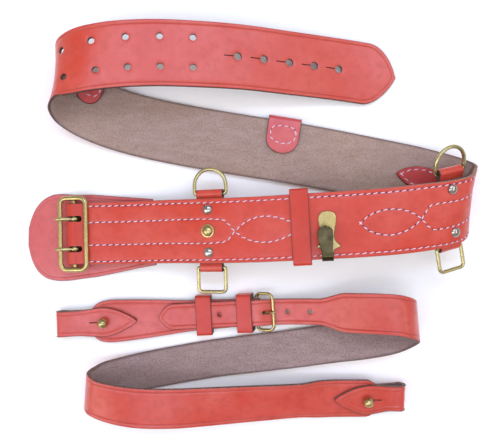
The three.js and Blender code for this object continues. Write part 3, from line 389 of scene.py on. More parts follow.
def smooth_line(points, places):
    """Points of a centripetal curve through the given points, at places counted in gaps."""
    points = np.asarray(points, float)
    gaps = len(points) - 1
    whole = np.minimum(np.floor(places).astype(int), gaps - 1)
    w = (places - whole)[:, None]
    padded = np.vstack([2 * points[0] - points[1], points, 2 * points[-1] - points[-2]])
    a, b, c, d = (padded[whole + k] for k in range(4))
    gap_ab, gap_bc, gap_cd = (
        np.maximum(np.linalg.norm(q - p, axis=1, keepdims=True), 1e-8) ** 0.5
        for p, q in ((a, b), (b, c), (c, d))
    )
    leave = ((b - a) / gap_ab - (c - a) / (gap_ab + gap_bc) + (c - b) / gap_bc) * gap_bc
    reach = ((c - b) / gap_bc - (d - b) / (gap_bc + gap_cd) + (d - c) / gap_cd) * gap_bc
    square = -3 * b + 3 * c - 2 * leave - reach
    cube = 2 * b - 2 * c + leave + reach
    return b + leave * w + square * w**2 + cube * w**3


def even_line(points, step):
    """A smooth line through points of any dimension, cut into about equal steps."""
    fine = smooth_line(points, np.linspace(0, len(points) - 1, (len(points) - 1) * 40 + 1))
    reach = reached(fine)
    count = max(int(round(reach[-1] / step)), 2)
    wanted = np.linspace(0, reach[-1], count + 1)
    return np.column_stack([np.interp(wanted, reach, column) for column in fine.T])


def reached(points, least=0.0):
    """Length along a line at each of its points."""
    gaps = np.linalg.norm(np.diff(points, axis=0), axis=1)
    return np.concatenate([[0], np.cumsum(np.maximum(gaps, least))])


def eased(t):
    """A share from 0 to 1 that starts and ends gently."""
    return t * t * (3 - 2 * t)


def unit(rows):
    """Rows scaled to a length of 1."""
    return rows / np.linalg.norm(rows, axis=1, keepdims=True)


def loop_way(outline):
    """Directions along a closed outline."""
    return unit(np.roll(outline, -1, axis=0) - np.roll(outline, 1, axis=0))


class Course:
    """A strap's course: a smooth line through its stations, with the direction across it."""

    def __init__(self, stations):
        table = np.array(stations, float)
        self.line, self.lean = table[:, :3], table[:, 3:]
        self.gaps = len(table) - 1
        self.places = np.linspace(0, self.gaps, self.gaps * 40 + 1)
        self.reach = reached(smooth_line(self.line, self.places))
        self.length = self.reach[-1]

    def lean_at(self, places):
        whole = np.minimum(np.floor(places).astype(int), self.gaps - 1)
        w = (places - whole)[:, None]
        padded = np.vstack([self.lean[0], self.lean, self.lean[-1]])
        a, b, c, d = (padded[whole + k] for k in range(4))
        leave, reach = (c - a) / 2, (d - b) / 2
        cube = 2 * b - 2 * c + leave + reach
        return cube * w**3 + (-3 * b + 3 * c - 2 * leave - reach) * w**2 + leave * w + b

    def axes(self, s):
        """Place, along, across and outward at each length s."""
        places = np.interp(np.ravel(s), self.reach, self.places)
        nudge = 1e-4 * self.gaps
        ahead = smooth_line(self.line, np.clip(places + nudge, 0, self.gaps))
        along = unit(ahead - smooth_line(self.line, np.clip(places - nudge, 0, self.gaps)))
        yaw, pitch = (self.lean_at(places) * DEGREE).T
        flat = np.cos(pitch)
        across = np.column_stack([np.sin(yaw) * flat, np.cos(yaw) * flat, np.sin(pitch)])
        across = unit(across - along * np.sum(along * across, axis=1, keepdims=True))
        return smooth_line(self.line, places), along, across, np.cross(along, across)

    def points(self, s, v, h):
        """Points at lengths s, v across and h above the suede side, as arrays of one shape."""
        s, v, h = np.broadcast_arrays(s, v, h)
        place, _, across, outward = self.axes(s)
        spots = place + across * v.reshape(-1, 1) + outward * h.reshape(-1, 1)
        return spots.reshape(*s.shape, 3)

    def matrix(self, s):
        """A straight local frame at s: X along, Y across, Z outwards."""
        place, along, across, outward = (part[0] for part in self.axes(np.array([s])))
        made = np.eye(4)
        made[:3, 0], made[:3, 1], made[:3, 2], made[:3, 3] = along, across, outward, place
        return made


BELT = Course(BELT_STATIONS)
PAD = Course(PAD_STATIONS)
SHOULDER = Course(STRAP_STATIONS)


def shift_by(x, y, z):
    made = np.eye(4)
    made[:3, 3] = x, y, z
    return made


def turn_by(degrees, axis):
    return np.array(Matrix.Rotation(degrees * DEGREE, 4, axis))


def placed(matrix, points):
    """Points moved by a matrix; they may be an array of any shape ending in 3."""
    return points @ matrix[:3, :3].T + matrix[:3, 3]


SHORT_SEAT = shift_by(SHORT["x"], SHORT["y"], 0) @ turn_by(SHORT["turn"], "Z")


# ---- Shells: points, faces, the finish of each face, marks on each point

SHELL_FACE, SHELL_EDGE, SHELL_BACK = 0, 1, 2


def skin(rings, caps=None, closed=False):
    """Quads over rings of points. Caps are faces of the first ring, used at both ends."""
    count, n = rings.shape[:2]
    i = np.arange(count if closed else count - 1)[:, None]
    j = np.arange(n)[None, :]
    k = (i + 1) % count
    quads = np.stack([i * n + j, i * n + (j + 1) % n, k * n + (j + 1) % n, k * n + j], axis=-1)
    quads = quads.reshape(-1, 4)
    points = rings.reshape(-1, 3)
    centred = points - points.mean(axis=0)
    a, b, c, d = (centred[quads[:, m]] for m in range(4))
    volume = np.sum(a * np.cross(b, c)) + np.sum(a * np.cross(c, d))
    faces = quads.tolist()
    end = (count - 1) * n
    for cap in caps or []:
        faces.append(list(cap)[::-1])
        faces.append([end + m for m in cap])
    if volume < 0:
        faces = [face[::-1] for face in faces]
    return points, faces


EDGE_STEPS = np.array([0, 0.1, 0.3, 0.62, 1.1, 1.9, 2.5, 2.95, 3.3, 3.65, 4.2, 5.2])
LEAST_ROW_GAP = 0.02
EDGE_STEPS_TIP = 11.0  # a strip narrower than this on each side gets its edge steps closer


def plain(s, v, inset):
    """No relief."""
    return 0 * v, 0 * v


def ribbon(spot, lengths, halves, low, high, columns=14, rim=0.8, relief=plain, closed=False):
    """A strip with rounded upper edges: spot(v, h) places its rows of points.

    Returns points, faces, finishes and marks. Relief gives each point's height and its painted shade.
    """
    lengths, halves = np.asarray(lengths, float), np.asarray(halves, float)
    slope = np.gradient(halves, lengths)[:, None]
    steps = EDGE_STEPS[None, :] * np.minimum(1, halves / EDGE_STEPS_TIP)[:, None]
    half = halves[:, None]
    middle = np.linspace(-1, 1, columns)[None, 1:-1] * (half - steps[:, -1:])
    v = np.hstack([steps - half, middle, (half - steps)[:, ::-1]])
    inset = (half - np.abs(v)) / np.sqrt(1 + slope**2)
    round_off = rim - np.sqrt(np.maximum(rim**2 - np.maximum(rim - inset, 0) ** 2, 0))
    height, dark = relief(lengths[:, None] + 0 * v, v, inset)
    top = spot(v, high - round_off + height)
    bottom = spot(v, low + 0.35 * round_off)
    rings = np.concatenate([top, bottom[:, ::-1]], axis=1)
    n = v.shape[1]
    caps = None if closed else [(j, j + 1, 2 * n - 2 - j, 2 * n - 1 - j) for j in range(n - 1)]
    points, faces = skin(rings, caps, closed)
    column = np.full(2 * n, SHELL_FACE)
    column[n:] = SHELL_BACK
    column[[0, 1, n - 3, n - 2, n - 1, n, 2 * n - 2, 2 * n - 1]] = SHELL_EDGE
    rows = len(lengths) if closed else len(lengths) - 1
    finish = np.concatenate([np.tile(column, rows), np.full(len(faces) - rows * 2 * n, SHELL_EDGE)])
    marks = {
        "crease": np.hstack([dark, 0 * dark]).ravel(),
        "inset": np.hstack([inset, inset[:, ::-1]]).ravel(),
    }
    return points, faces, finish, marks


def bent_spot(rows, at):
    """The placing of a strip bent in one plane: rows of x, z, shift; at() gives the points."""
    x, z, shift = rows[:, 0:1], rows[:, 1:2], rows[:, 2:3]
    way = unit(np.gradient(rows[:, :2], axis=0))
    return lambda v, h: at(x - way[:, 1:2] * h, shift + v, z + way[:, 0:1] * h)


def bent_ribbon(rows, thick, at, step=1.3, **settings):
    """A strip through rows of (x, z, half[, shift]), all of them smoothed."""
    fine = even_line([(*row, 0)[:4] for row in rows], step)
    lengths = reached(fine[:, :2], LEAST_ROW_GAP)
    spot = bent_spot(fine[:, [0, 1, 3]], at)
    return ribbon(spot, lengths, fine[:, 2], -thick / 2, thick / 2, **settings)


def arc(x, z, radius, start, stop, steps):
    angles = np.linspace(start, stop, steps + 1) * DEGREE
    return np.column_stack([x + radius * np.cos(angles), z + radius * np.sin(angles)])


def rounded_rectangle(x0, x1, y0, y1, corner, steps=8):
    return np.vstack([
        arc(x1 - corner, y0 + corner, corner, -90, 0, steps),
        arc(x1 - corner, y1 - corner, corner, 0, 90, steps),
        arc(x0 + corner, y1 - corner, corner, 90, 180, steps),
        arc(x0 + corner, y0 + corner, corner, 180, 270, steps),
    ])


def close_spaced(outline, longest=3.0):
    """A closed outline with points put into its long sides."""
    made = []
    for here, after in zip(outline, np.roll(outline, -1, axis=0)):
        count = max(int(np.linalg.norm(after - here) / longest), 1)
        made += [here + (after - here) * k / count for k in range(count)]
    return np.array(made)


def ring_angles(sides, first=0.0):
    return (np.arange(sides) + first) / sides * 2 * math.pi


def loop_bar(outline, wide, high, sides=16):
    """A bar bent into a closed outline in the local XY plane."""
    way = loop_way(outline)
    angle = ring_angles(sides, 0.5)
    out = wide * np.cos(angle)[None, :]
    rings = np.stack([
        outline[:, 0:1] + way[:, 1:2] * out,
        outline[:, 1:2] - way[:, 0:1] * out,
        np.broadcast_to(high * np.sin(angle)[None, :], (len(outline), sides)),
    ], axis=-1)
    return skin(rings, closed=True)


def tapered_bar(rows, sides=16):
    """A round bar in the local XZ plane, its tip rounded."""
    fine = even_line(rows, 0.7)
    way = unit(np.gradient(fine[:, :2], axis=0))
    tip = fine[-1]
    for share in (0.35, 0.65, 0.85, 0.97):
        reach = tip[2] * share
        row = [tip[0] + way[-1, 0] * reach * 0.8, tip[1] + way[-1, 1] * reach * 0.8,
               tip[2] * math.sqrt(1 - share**2)]
        fine = np.vstack([fine, row])
        way = np.vstack([way, way[-1]])
    angle = ring_angles(sides, 0.5)
    out = fine[:, 2:3] * np.cos(angle)[None, :]
    rings = np.stack([
        fine[:, 0:1] - way[:, 1:2] * out,
        fine[:, 2:3] * np.sin(angle)[None, :],
        fine[:, 1:2] + way[:, 0:1] * out,
    ], axis=-1)
    return skin(rings, [tuple(range(sides))])


def turned(profile, sides=40):
    """A piece turned about the local Z axis: rows of radius and height."""
    profile = np.asarray(profile, float)
    angle = ring_angles(sides)
    rings = np.stack([
        profile[:, 0:1] * np.cos(angle)[None, :],
        profile[:, 0:1] * np.sin(angle)[None, :],
        np.broadcast_to(profile[:, 1:2], (len(profile), sides)),
    ], axis=-1)
    return skin(rings, [tuple(range(sides))])


def seated(matrix, shell):
    """A shell of points and faces moved by a matrix."""
    points, faces = shell
    return placed(matrix, points), faces


def seated_by(matrix):
    """A placing function for a strip bent in a matrix's own frame."""
    return lambda x, y, z: placed(matrix, np.stack(np.broadcast_arrays(x, y, z), -1))


def punch(outline, low, high):
    """A cutter: an outline in the local XY plane from one height to another."""
    outline = np.asarray(outline, float)
    rings = np.stack([
        np.column_stack([outline, np.full(len(outline), height)]) for height in (low, high)
    ])
    return skin(rings, [tuple(range(len(outline)))])


def through_ply(outline):
    """A cutter that goes right through a ply."""
    return punch(outline, -CUTTER_REACH, PLY + CUTTER_REACH)


def circle(radius, x=0.0, sides=28):
    return arc(x, 0, radius, 0, 360, sides)[:-1]


def keyhole(radius, slit_end, width):
    """A round hole with a slit that runs to slit_end on the -X side."""
    opening = math.degrees(math.asin(width / 2 / radius))
    round_part = arc(0, 0, radius, -180 + opening, 180 - opening, 26)
    slit = [(slit_end + 0.3, width / 2), (slit_end, 0), (slit_end + 0.3, -width / 2)]
    return np.vstack([round_part, slit])


# ---- Objects


def make_object(name, shells, materials):
    """One mesh object from shells of (points, faces[, finishes[, marks]])."""
    points, faces, finish = [], [], []
    marks = {"crease": [], "inset": []}
    count = 0
    for shell in shells:
        spots, sides = shell[0], shell[1]
        faces += [[count + m for m in side] for side in sides]
        finish += list(shell[2]) if len(shell) > 2 else [0] * len(sides)
        for title, empty in (("crease", 0.0), ("inset", FAR_INSET)):
            values = shell[3][title] if len(shell) > 3 else np.full(len(spots), empty)
            marks[title].append(values)
        points.append(spots)
        count += len(spots)
    mesh = bpy.data.meshes.new(name)
    mesh.from_pydata(((np.vstack(points) + ORIGIN) * MM).tolist(), [], faces)
    for material in materials:
        mesh.materials.append(material)
    mesh.polygons.foreach_set("material_index", [min(f, len(materials) - 1) for f in finish])
    for title, parts in marks.items():
        layer = mesh.attributes.new(title, "FLOAT", "POINT")
        layer.data.foreach_set("value", np.concatenate(parts).astype(np.float32))
    mesh.polygons.foreach_set("use_smooth", [True] * len(mesh.polygons))
    mesh.update()
    mesh.set_sharp_from_angle(angle=SHARP_ANGLE * DEGREE)
    piece = bpy.data.objects.new(name, mesh)
    bpy.context.scene.collection.objects.link(piece)
    return piece


def bake_modifiers(piece):
    """Replaces a piece's mesh by what its modifiers make of it."""
    graph = bpy.context.evaluated_depsgraph_get()
    made = bpy.data.meshes.new_from_object(piece.evaluated_get(graph))
    piece.modifiers.clear()
    piece.data = made


def work(piece, tools, materials, operation="DIFFERENCE", angle=SHARP_ANGLE):
    """Cuts the tools out of a piece, or joins them to it."""
    for number, shell in enumerate(tools):
        tool = make_object(f"{piece.name}_tool_{number}", [shell], materials)
        modifier = piece.modifiers.new("work", "BOOLEAN")
        modifier.operation = operation
        modifier.solver = "EXACT"
        modifier.material_mode = "TRANSFER"
        modifier.object = tool
        tool["tool"] = True
    bake_modifiers(piece)
    for tool in [o for o in bpy.context.scene.objects if o.get("tool")]:
        bpy.data.objects.remove(tool)
    piece.data.set_sharp_from_angle(angle=angle * DEGREE)


def settle(piece, slot, *nodes, body="root"):
    """Hands a finished piece to the frame."""
    if nodes:
        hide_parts(*nodes)
    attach(piece, body)


def build(name, shells, finish, slot, *nodes, cuts=(), joins=(), body="root"):
    """Makes a piece with its cuts or joined parts, and hands it to the frame."""
    piece = make_object(name, shells, finishes(*finish))
    if cuts:
        work(piece, cuts, finishes(finish[1]))
    if joins:
        work(piece, joins, finishes(*finish), "UNION", WELD_ANGLE)
    settle(piece, slot, *nodes, body=body)


# ---- Materials


def put(tree, kind, inputs=None, **settings):
    """Adds a node, sets it, and links or fills its inputs."""
    node = tree.nodes.new(kind)
    for key, value in settings.items():
        setattr(node, key, value)
    for key, value in (inputs or {}).items():
        if isinstance(value, bpy.types.NodeSocket):
            tree.links.new(value, node.inputs[key])
        else:
            node.inputs[key].default_value = value
    return node


def noise(tree, place, scale, detail=3.0, roughness=0.55, seed=0.0):
    """A noise value between 0 and 1; the scale counts features in a metre."""
    shifted = put(tree, "ShaderNodeVectorMath", {0: place, 1: (seed, seed * 0.7, seed * 1.3)})
    return put(tree, "ShaderNodeTexNoise", {
        "Vector": shifted.outputs[0], "Scale": scale, "Detail": detail, "Roughness": roughness,
    }).outputs["Fac"]


def ramp(tree, value, low, high, to_low=0.0, to_high=1.0):
    return put(tree, "ShaderNodeMapRange", {
        "Value": value, "From Min": low, "From Max": high, "To Min": to_low, "To Max": to_high,
    }).outputs["Result"]


def blend_color(tree, share, one, other, way="MIX"):
    return put(
        tree, "ShaderNodeMix", {0: share, 6: one, 7: other},
        data_type="RGBA", blend_type=way, clamp_factor=True,
    ).outputs[2]


def math_node(tree, way, one, other=0.0):
    return put(tree, "ShaderNodeMath", {0: one, 1: other}, operation=way).outputs[0]


def stretched(tree, place, scale):
    """Coordinates scaled apart along each axis, for streaks and scratches."""
    return put(tree, "ShaderNodeMapping", {"Vector": place, "Scale": scale}).outputs[0]


def mark(tree, name):
    """A value that the mesh carries on its points."""
    return put(tree, "ShaderNodeAttribute", attribute_name=name).outputs["Fac"]


COLOR_SOCKET, VALUE_SOCKET = "NodeSocketColor", "NodeSocketFloat"


def new_group(name, **inputs):
    """An empty shader group with inputs and defaults, its given values, and object coordinates."""
    group = bpy.data.node_groups.new(name, "ShaderNodeTree")
    for title, default in inputs.items():
        kind = COLOR_SOCKET if isinstance(default, tuple) else VALUE_SOCKET
        title = title.replace("_", " ").title()
        group.interface.new_socket(title, in_out="INPUT", socket_type=kind).default_value = default
    given = group.nodes.new("NodeGroupInput").outputs
    return group, given, put(group, "ShaderNodeTexCoord").outputs["Object"]


def give_out(group, color, roughness, height):
    """Ends a shader group with its three outputs."""
    outputs = {"Color": color, "Roughness": roughness, "Height": height}
    for title in outputs:
        kind = COLOR_SOCKET if title == "Color" else VALUE_SOCKET
        group.interface.new_socket(title, in_out="OUTPUT", socket_type=kind)
    put(group, "NodeGroupOutput", outputs)
    return group


def grained_leather_group():
    """Dyed smooth leather: mottling, pores, painted shade in pressed grooves and round holes, darker near
    the edges.
    """
    group, given, place = new_group(
        "Grained leather", color=(0.6, 0.1, 0.05, 1), crease_color=(0.2, 0.02, 0.03, 1),
        mottle=0.5, gloss_change=0.5, edge_darkness=0.5,
    )
    color, crease_color, mottle = given["Color"], given["Crease Color"], given["Mottle"]
    broad = noise(group, place, 28, 3, 0.5)
    patchy = noise(group, place, 150, 4, 0.6, 3.1)
    grain = noise(group, place, 900, 4, 0.6, 7.7)
    pores = put(group, "ShaderNodeTexVoronoi", {"Vector": place, "Scale": 1150.0}).outputs["Distance"]
    streak = noise(group, stretched(group, place, (1.0, 7.0, 1.0)), 90, 3, 0.6, 5.0)
    deep = blend_color(group, 1.0, color, (0.74, 0.66, 0.70, 1), "MULTIPLY")
    pale = blend_color(group, 0.16, color, (0.95, 0.45, 0.42, 1))
    share = math_node(group, "MULTIPLY", ramp(group, broad, 0.35, 0.65), mottle)
    body = blend_color(group, share, color, pale)
    share = math_node(group, "MULTIPLY", ramp(group, patchy, 0.45, 0.75), mottle)
    body = blend_color(group, share, body, deep)
    body = blend_color(group, ramp(group, grain, 0.56, 0.8, 0, 0.25), body, deep)
    # painted shade: darkens the pressed crease lines, the stitch grooves and the rims round the holes
    share = math_node(group, "MULTIPLY", mark(group, "crease"), 0.72)
    body = blend_color(group, share, body, crease_color)
    near_edge = ramp(group, mark(group, "inset"), 0.2, 1.7, 1.0, 0.0)
    near_edge = math_node(group, "MULTIPLY", near_edge, given["Edge Darkness"])
    body = blend_color(group, near_edge, body, crease_color)
    rough = ramp(group, streak, 0.3, 0.7, 0.30, 0.44)
    change = math_node(group, "MULTIPLY", ramp(group, patchy, 0.35, 0.7, 0, 0.16), given["Gloss Change"])
    fine = math_node(group, "MULTIPLY", grain, 0.5)
    height = math_node(group, "ADD", fine, ramp(group, pores, 0, 0.5, 0, 0.35))
    height = math_node(group, "ADD", height, math_node(group, "MULTIPLY", patchy, 1.2))
    return give_out(group, body, math_node(group, "ADD", rough, change), height)


def suede_nap_group():
    """Rough inner side: fibres in clumps, brushed patches, dark specks."""
    group, given, place = new_group("Suede nap", color=(0.36, 0.25, 0.21, 1), warmth=0.5)
    color = given["Color"]
    clumps = noise(group, place, 800, 5, 0.72)
    fibres = noise(group, place, 1500, 4, 0.7, 2.0)
    brushed = noise(group, stretched(group, place, (1.0, 3.5, 1.0)), 60, 4, 0.6, 4.0)
    broad = noise(group, place, 14, 3, 0.55, 9.0)
    dark = blend_color(group, 1.0, color, (0.50, 0.46, 0.50, 1), "MULTIPLY")
    light = blend_color(group, 0.42, color, (0.66, 0.56, 0.53, 1))
    warm = blend_color(group, 0.5, color, (0.50, 0.31, 0.20, 1))
    body = blend_color(group, ramp(group, broad, 0.42, 0.68, 0, 0.8), color, warm)
    body = blend_color(group, given["Warmth"], color, body)
    for value, low, high, most, tone in (
        (brushed, 0.35, 0.7, 0.45, light), (clumps, 0.50, 0.66, 0.5, light),
        (clumps, 0.50, 0.34, 0.6, dark), (fibres, 0.58, 0.75, 0.5, dark),
    ):
        body = blend_color(group, ramp(group, value, low, high, 0, most), body, tone)
    share = ramp(group, mark(group, "inset"), 0.2, 2.4, 0.7, 0.0)
    body = blend_color(group, share, body, (0.07, 0.045, 0.04, 1))
    height = math_node(group, "ADD", clumps, math_node(group, "MULTIPLY", fibres, 0.5))
    return give_out(group, body, ramp(group, clumps, 0.3, 0.7, 0.85, 1.0), height)


def cut_edge_group():
    """Cut leather edge: stained, with fibres showing through."""
    group, given, place = new_group(
        "Cut edge", color=(0.1, 0.05, 0.04, 1), fibre_color=(0.3, 0.2, 0.15, 1),
    )
    fibres = noise(group, place, 900, 5, 0.7, 1.0)
    worn = noise(group, place, 120, 3, 0.6, 6.0)
    shown = ramp(group, worn, 0.3, 0.7, 0.25, 1.0)
    share = math_node(group, "MULTIPLY", ramp(group, fibres, 0.42, 0.62), shown)
    body = blend_color(group, share, given["Color"], given["Fibre Color"])
    return give_out(group, body, ramp(group, worn, 0.3, 0.7, 0.55, 0.85), fibres)


def aged_metal_group():
    """Handled metal: tarnish clouds, fine scratches, brighter rubbed spots."""
    group, given, place = new_group(
        "Aged metal", color=(0.55, 0.42, 0.14, 1), tarnish_color=(0.2, 0.14, 0.05, 1),
        tarnish=0.5, low_roughness=0.18, high_roughness=0.42,
    )
    clouds = noise(group, place, 160, 5, 0.65)
    spots = noise(group, place, 620, 4, 0.7, 3.0)
    scratches = noise(group, stretched(group, place, (1.0, 9.0, 9.0)), 420, 3, 0.6, 8.0)
    body = given["Color"]
    for value, low, high in ((clouds, 0.42, 0.72), (spots, 0.58, 0.72)):
        share = math_node(group, "MULTIPLY", ramp(group, value, low, high), given["Tarnish"])
        body = blend_color(group, share, body, given["Tarnish Color"])
    rough = ramp(group, clouds, 0.35, 0.7, given["Low Roughness"], given["High Roughness"])
    height = math_node(group, "ADD", math_node(group, "MULTIPLY", scratches, 0.5), clouds)
    return give_out(group, body, rough, height)


def finish_material(name, group, values, bump, constants):
    """A material whose group feeds a Principled shader; constants go on the shader's sockets."""
    material = bpy.data.materials.new(name)
    material.use_nodes = True
    tree = material.node_tree
    tree.nodes.clear()
    effect = tree.nodes.new("ShaderNodeGroup")
    effect.node_tree = group
    for key, value in values.items():
        effect.inputs[key].default_value = value
    relief = put(tree, "ShaderNodeBump", {
        "Height": effect.outputs["Height"], "Distance": bump, "Strength": 1.0,
    })
    shader = put(tree, "ShaderNodeBsdfPrincipled", {
        "Base Color": effect.outputs["Color"], "Roughness": effect.outputs["Roughness"],
        "Normal": relief.outputs[0], **constants,
    })
    put(tree, "ShaderNodeOutputMaterial", {"Surface": shader.outputs[0]})
    return material


# Distances of the bump on each kind of surface, metres
LEATHER_BUMP, METAL_BUMP, SUEDE_BUMP, EDGE_BUMP = 0.00006, 0.00004, 0.0005, 0.0002
LEATHER_GLOSS = {"Coat Weight": 0.5, "Coat Roughness": 0.28, "IOR": 1.5}
DULLER = {"Coat Weight": 0.25, "Specular IOR Level": 0.35}
# red of the painted shade in the grooves; the same red also darkens the leather near its edges
GROOVE_SHADE_AND_EDGE_RED = (0.30, 0.020, 0.012, 1)


def make_materials():
    """All finishes by name."""
    scene = bpy.context.scene
    leather, stitch, metal = scene.belt_leather, scene.belt_stitching, scene.belt_metal
    smooth, suede, edge, brass = (
        grained_leather_group(), suede_nap_group(), cut_edge_group(), aged_metal_group()
    )

    def dyed(name, color, mottle=0.5, gloss=0.4, edge_dark=0.35, **constants):
        values = {
            "Color": (*color, 1), "Crease Color": GROOVE_SHADE_AND_EDGE_RED, "Mottle": mottle,
            "Gloss Change": gloss, "Edge Darkness": edge_dark,
        }
        return finish_material(name, smooth, values, LEATHER_BUMP, {**LEATHER_GLOSS, **constants})

    def cast(name, color, tarnish_color, tarnish, low, high):
        values = {
            "Color": (*color, 1), "Tarnish Color": tarnish_color, "Tarnish": tarnish,
            "Low Roughness": low, "High Roughness": high,
        }
        return finish_material(name, brass, values, METAL_BUMP, {"Metallic": 1.0})

    def napped(name, color, warmth):
        values = {"Color": (*color, 1), "Warmth": warmth}
        constants = {"Sheen Weight": 0.25, "Sheen Roughness": 0.5, "Specular IOR Level": 0.15}
        return finish_material(name, suede, values, SUEDE_BUMP, constants)

    def cut_side(name, color, fibre_color):
        values = {"Color": color, "Fibre Color": fibre_color}
        return finish_material(name, edge, values, EDGE_BUMP, {"Specular IOR Level": 0.3})

    cool = tuple(a * b for a, b in zip(leather.suede_color, (0.86, 0.86, 1.0)))
    return {
        "belt": dyed("dyed_belt_leather", leather.belt_color),
        "front": dyed("dyed_front_leather", leather.front_color, edge_dark=0.1, **DULLER),
        "pad": dyed("dyed_pad_leather", leather.pad_color),
        "strap": dyed("dyed_strap_leather", leather.strap_color, 0.6),
        "keeper": dyed("dyed_keeper_leather", leather.keeper_color, 0.3, **DULLER),
        "tab": dyed("dyed_tab_leather", leather.tab_color, 0.5),
        # deeper red includes painted shade of the inside of the bend
        "patch": dyed("dyed_patch_leather", leather.patch_color, 0.8, 0.8, **DULLER),
        "belt_suede": napped("belt_suede_side", leather.suede_color, 0.75),
        "strap_suede": napped("strap_suede_side", cool, 0.25),
        "belt_edge": cut_side("belt_cut_edge", (0.070, 0.030, 0.024, 1), (0.20, 0.11, 0.08, 1)),
        "front_edge": cut_side("front_cut_edge", (0.30, 0.15, 0.11, 1), (0.46, 0.30, 0.23, 1)),
        "strap_edge": cut_side("strap_cut_edge", (0.12, 0.055, 0.045, 1), (0.42, 0.27, 0.21, 1)),
        "brass": cast("aged_cast_brass", metal.brass_color, (0.20, 0.155, 0.06, 1), 0.4, 0.2, 0.36),
        "wire": cast("aged_brass_wire", metal.wire_color, (0.26, 0.22, 0.10, 1), 0.3, 0.2, 0.32),
        # brass darkened as a painted reflection on the upturned leaf
        "leaf": cast("dark_brass_leaf", metal.leaf_color, (0.035, 0.030, 0.018, 1), 0.6, 0.16, 0.30),
        # darker nickel as a painted reflection; its tarnish clouds are a darker tone at random
        "nickel": cast("worn_nickel", metal.nickel_color, (0.14, 0.10, 0.085, 1), 0.5, 0.04, 0.10),
        "thread": cut_side("sewing_thread", (*stitch.color, 1), (0.62, 0.50, 0.62, 1)),
        # dark bodies painted as the shade in the stitch holes
        "hole_shade": cut_side("thread_pit", (0.10, 0.022, 0.075, 1), (0.16, 0.04, 0.10, 1)),
    }


FINISH = {}


def finishes(*names):
    """The named finishes, made on the first call."""
    if not FINISH:
        FINISH.update(make_materials())
    return [FINISH[name] for name in names]


# ---- Geometry Nodes: stitches along a path, and turned shapes at points


def geometry_tree(name, inputs):
    """An empty tree that takes a shape and the named inputs."""
    tree = bpy.data.node_groups.new(name, "GeometryNodeTree")
    for title, kind in [("Geometry", "NodeSocketGeometry"), *inputs]:
        tree.interface.new_socket(title, in_out="INPUT", socket_type=kind)
    tree.interface.new_socket("Geometry", in_out="OUTPUT", socket_type="NodeSocketGeometry")
    return tree, tree.nodes.new("NodeGroupInput").outputs


def facing_rotation(tree, along):
    """A rotation whose Z is the point's outward attribute and whose X follows along."""
    outward = put(
        tree, "GeometryNodeInputNamedAttribute", {"Name": "outward"}, data_type="FLOAT_VECTOR",
    )
    return put(tree, "FunctionNodeAxesToRotation", {
        "Primary Axis": outward.outputs["Attribute"], "Secondary Axis": along,
    }, primary_axis="Z", secondary_axis="X").outputs["Rotation"]


def end_tree(tree, instances, material):
    """Makes instances real, smooth and painted, and gives them out."""
    real = put(tree, "GeometryNodeRealizeInstances", {"Geometry": instances})
    smooth = put(tree, "GeometryNodeSetShadeSmooth", {"Geometry": real.outputs[0]})
    painted = put(tree, "GeometryNodeSetMaterial", {"Geometry": smooth.outputs[0], "Material": material})
    put(tree, "NodeGroupOutput", {"Geometry": painted.outputs[0]})


def stitch_tree():
    """One oval thread for every pitch of a path, each turned a little out of its row."""
    measures = [(title, VALUE_SOCKET) for title in ("Pitch", "Length", "Width", "Height", "Slant")]
    tree, given = geometry_tree("Run of stitches", [
        *measures, ("Seed", "NodeSocketInt"), ("Material", "NodeSocketMaterial"),
    ])
    curve = put(tree, "GeometryNodeMeshToCurve", {"Mesh": given["Geometry"]})
    spaced = put(tree, "GeometryNodeResampleCurve", {
        "Curve": curve.outputs[0], "Length": given["Pitch"],
    }, mode="LENGTH")
    ball = put(tree, "GeometryNodeMeshUVSphere", {"Segments": 8, "Rings": 5, "Radius": 0.5})
    size = put(tree, "ShaderNodeCombineXYZ", {
        "X": given["Length"], "Y": given["Width"], "Z": given["Height"],
    })
    thread = put(tree, "GeometryNodeTransform", {"Geometry": ball.outputs[0], "Scale": size.outputs[0]})
    spread = put(tree, "FunctionNodeRandomValue", {
        2: -SLANT_SPREAD, 3: SLANT_SPREAD, "Seed": given["Seed"],
    }, data_type="FLOAT")
    slant = put(tree, "ShaderNodeMath", {0: given["Slant"], 1: spread.outputs[1]}, operation="ADD")
    turn = put(tree, "ShaderNodeCombineXYZ", {"Z": slant.outputs[0]})
    turn = put(tree, "FunctionNodeEulerToRotation", {"Euler": turn.outputs[0]})
    tangent = put(tree, "GeometryNodeInputTangent")
    rotation = put(tree, "FunctionNodeRotateRotation", {
        "Rotation": facing_rotation(tree, tangent.outputs[0]), "Rotate By": turn.outputs[0],
    }, rotation_space="LOCAL")
    spots = put(tree, "GeometryNodeInstanceOnPoints", {
        "Points": spaced.outputs[0], "Instance": thread.outputs[0], "Rotation": rotation.outputs[0],
    })
    end_tree(tree, spots.outputs[0], given["Material"])
    return tree


def seated_shape_tree():
    """One turned shape at every point, standing on the surface there."""
    tree, given = geometry_tree("Seated shapes", [
        ("Shape", "NodeSocketObject"), ("Material", "NodeSocketMaterial"),
    ])
    along = put(tree, "GeometryNodeInputNamedAttribute", {"Name": "along"}, data_type="FLOAT_VECTOR")
    rotation = facing_rotation(tree, along.outputs["Attribute"])
    shape = put(tree, "GeometryNodeObjectInfo", {"Object": given["Shape"]})
    spots = put(tree, "GeometryNodeInstanceOnPoints", {
        "Points": given["Geometry"], "Instance": shape.outputs["Geometry"], "Rotation": rotation,
    })
    end_tree(tree, spots.outputs[0], given["Material"])
    return tree


TREES = {}


